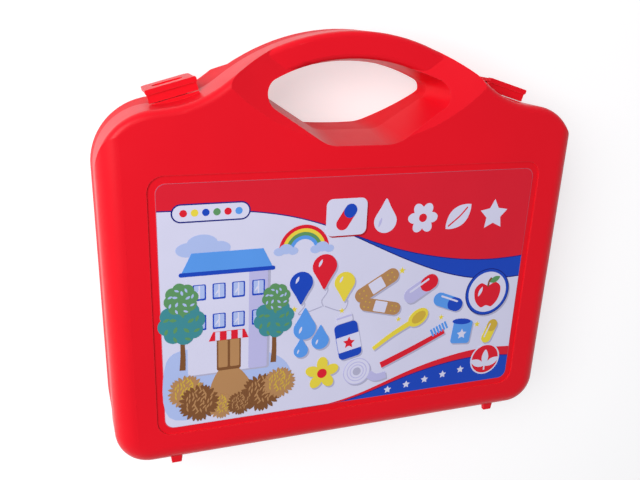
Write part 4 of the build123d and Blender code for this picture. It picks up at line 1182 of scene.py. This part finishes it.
# ----------------------------------------
# Thermometer: a moulded yellow body with a printed grey display window, a ribbed
# grip and a raised frame round the window.
finish(yellow_toy_plastic, "thermometer_body")
finish(printed_under_film("display_grey", (0.30, 0.34, 0.30)), "thermometer_window")
window = top_of("thermometer_window")
window_low, window_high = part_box("thermometer_window")
window_size = (window_high - window_low) / mm
frame_margin, frame_corner = 1.2, 2.0
frame_plan = slab(0, 0, window_size.x + frame_margin, window_size.y + frame_margin, frame_corner)
frame_rim = bmesh.new()
bead(frame_rim, laid_out(frame_plan, window), small_bead, upward)
stout_bead = 0.50 * mm
grip_ribs, first_grip_rib, grip_rib_pitch, rib_half = 6, 12 * mm, 3.2 * mm, 4.2 * mm
grip_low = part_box("thermometer_body")[0].y
grip_level = window.z - bead_sink / 2
for i in range(grip_ribs):
    y = grip_low + first_grip_rib + grip_rib_pitch * i
    rib_path = [Vector((window.x + side * rib_half, y, grip_level)) for side in (-1, 1)]
    bead(frame_rim, rib_path, stout_bead, upward, closed=False)
dressed("thermometer_frame", frame_rim, yellow_toy_plastic, "base")
digits_place = window + Vector((0, 0, number_thickness))
digits_size = 7.0 * mm
printed_number("thermometer_digits", "36.5", digits_place, digits_size, 90, black_ink, "base")

# ----------------------------------------
# Reflex hammer: a white moulded head with two rings round each end, and a blue
# moulded handle with a ringed grip.
finish(white_toy_plastic, "hammer_head")
finish(blue_toy_plastic, "hammer_handle")
head_low, head_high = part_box("hammer_head")
head_radius = (head_high.z - head_low.z) / 2
head_axis = Vector((0, (head_low.y + head_high.y) / 2, (head_low.z + head_high.z) / 2))
near_end, far_end = 6.0 * mm, 8.5 * mm
ring_x = (head_low.x + near_end, head_low.x + far_end, head_high.x - far_end, head_high.x - near_end)
head_rings = bmesh.new()
ring_beads(head_rings, [head_axis + Vector((x, 0, 0)) for x in ring_x], [head_radius], along_x, fine_bead)
dressed("hammer_head_rings", head_rings, white_toy_plastic, "base")
handle_low, handle_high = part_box("hammer_handle")
grip_radius = (handle_high.x - handle_low.x) / 2 - bead_sink
grip_end = Vector(((handle_low.x + handle_high.x) / 2, handle_low.y, (handle_low.z + handle_high.z) / 2))
grip_ring_count, grip_ring_pitch, along_y = 9, 5 * mm, (0, 1, 0)
grip_centres = [grip_end + Vector((0, (i + 1) * grip_ring_pitch, 0)) for i in range(grip_ring_count)]
hammer_rings = bmesh.new()
ring_beads(hammer_rings, grip_centres, [grip_radius], along_y, small_bead)
dressed("hammer_grip_rings", hammer_rings, blue_toy_plastic, "base")

# ----------------------------------------
# Hand mirror: a blue moulded frame and handle, with silvered foil let into the
# ring behind a raised double rim.
foil_silver, foil_gloss = (0.86, 0.88, 0.90), (0.03, 0.08)
mirror_foil = moulded_plastic(
    "mirror_foil", foil_silver, foil_gloss, grain_size=0.002, grain_depth=0.000004, pale=0.0, Metallic=1.0
)
finish(blue_toy_plastic, "mirror_handle")
finish(mirror_foil, "mirror_glass")
mirror_rim = bmesh.new()
ring_beads(mirror_rim, [top_of("mirror_glass")], (12.1 * mm, 13.4 * mm), upward, stout_bead)
dressed("mirror_rim", mirror_rim, blue_toy_plastic, "base")
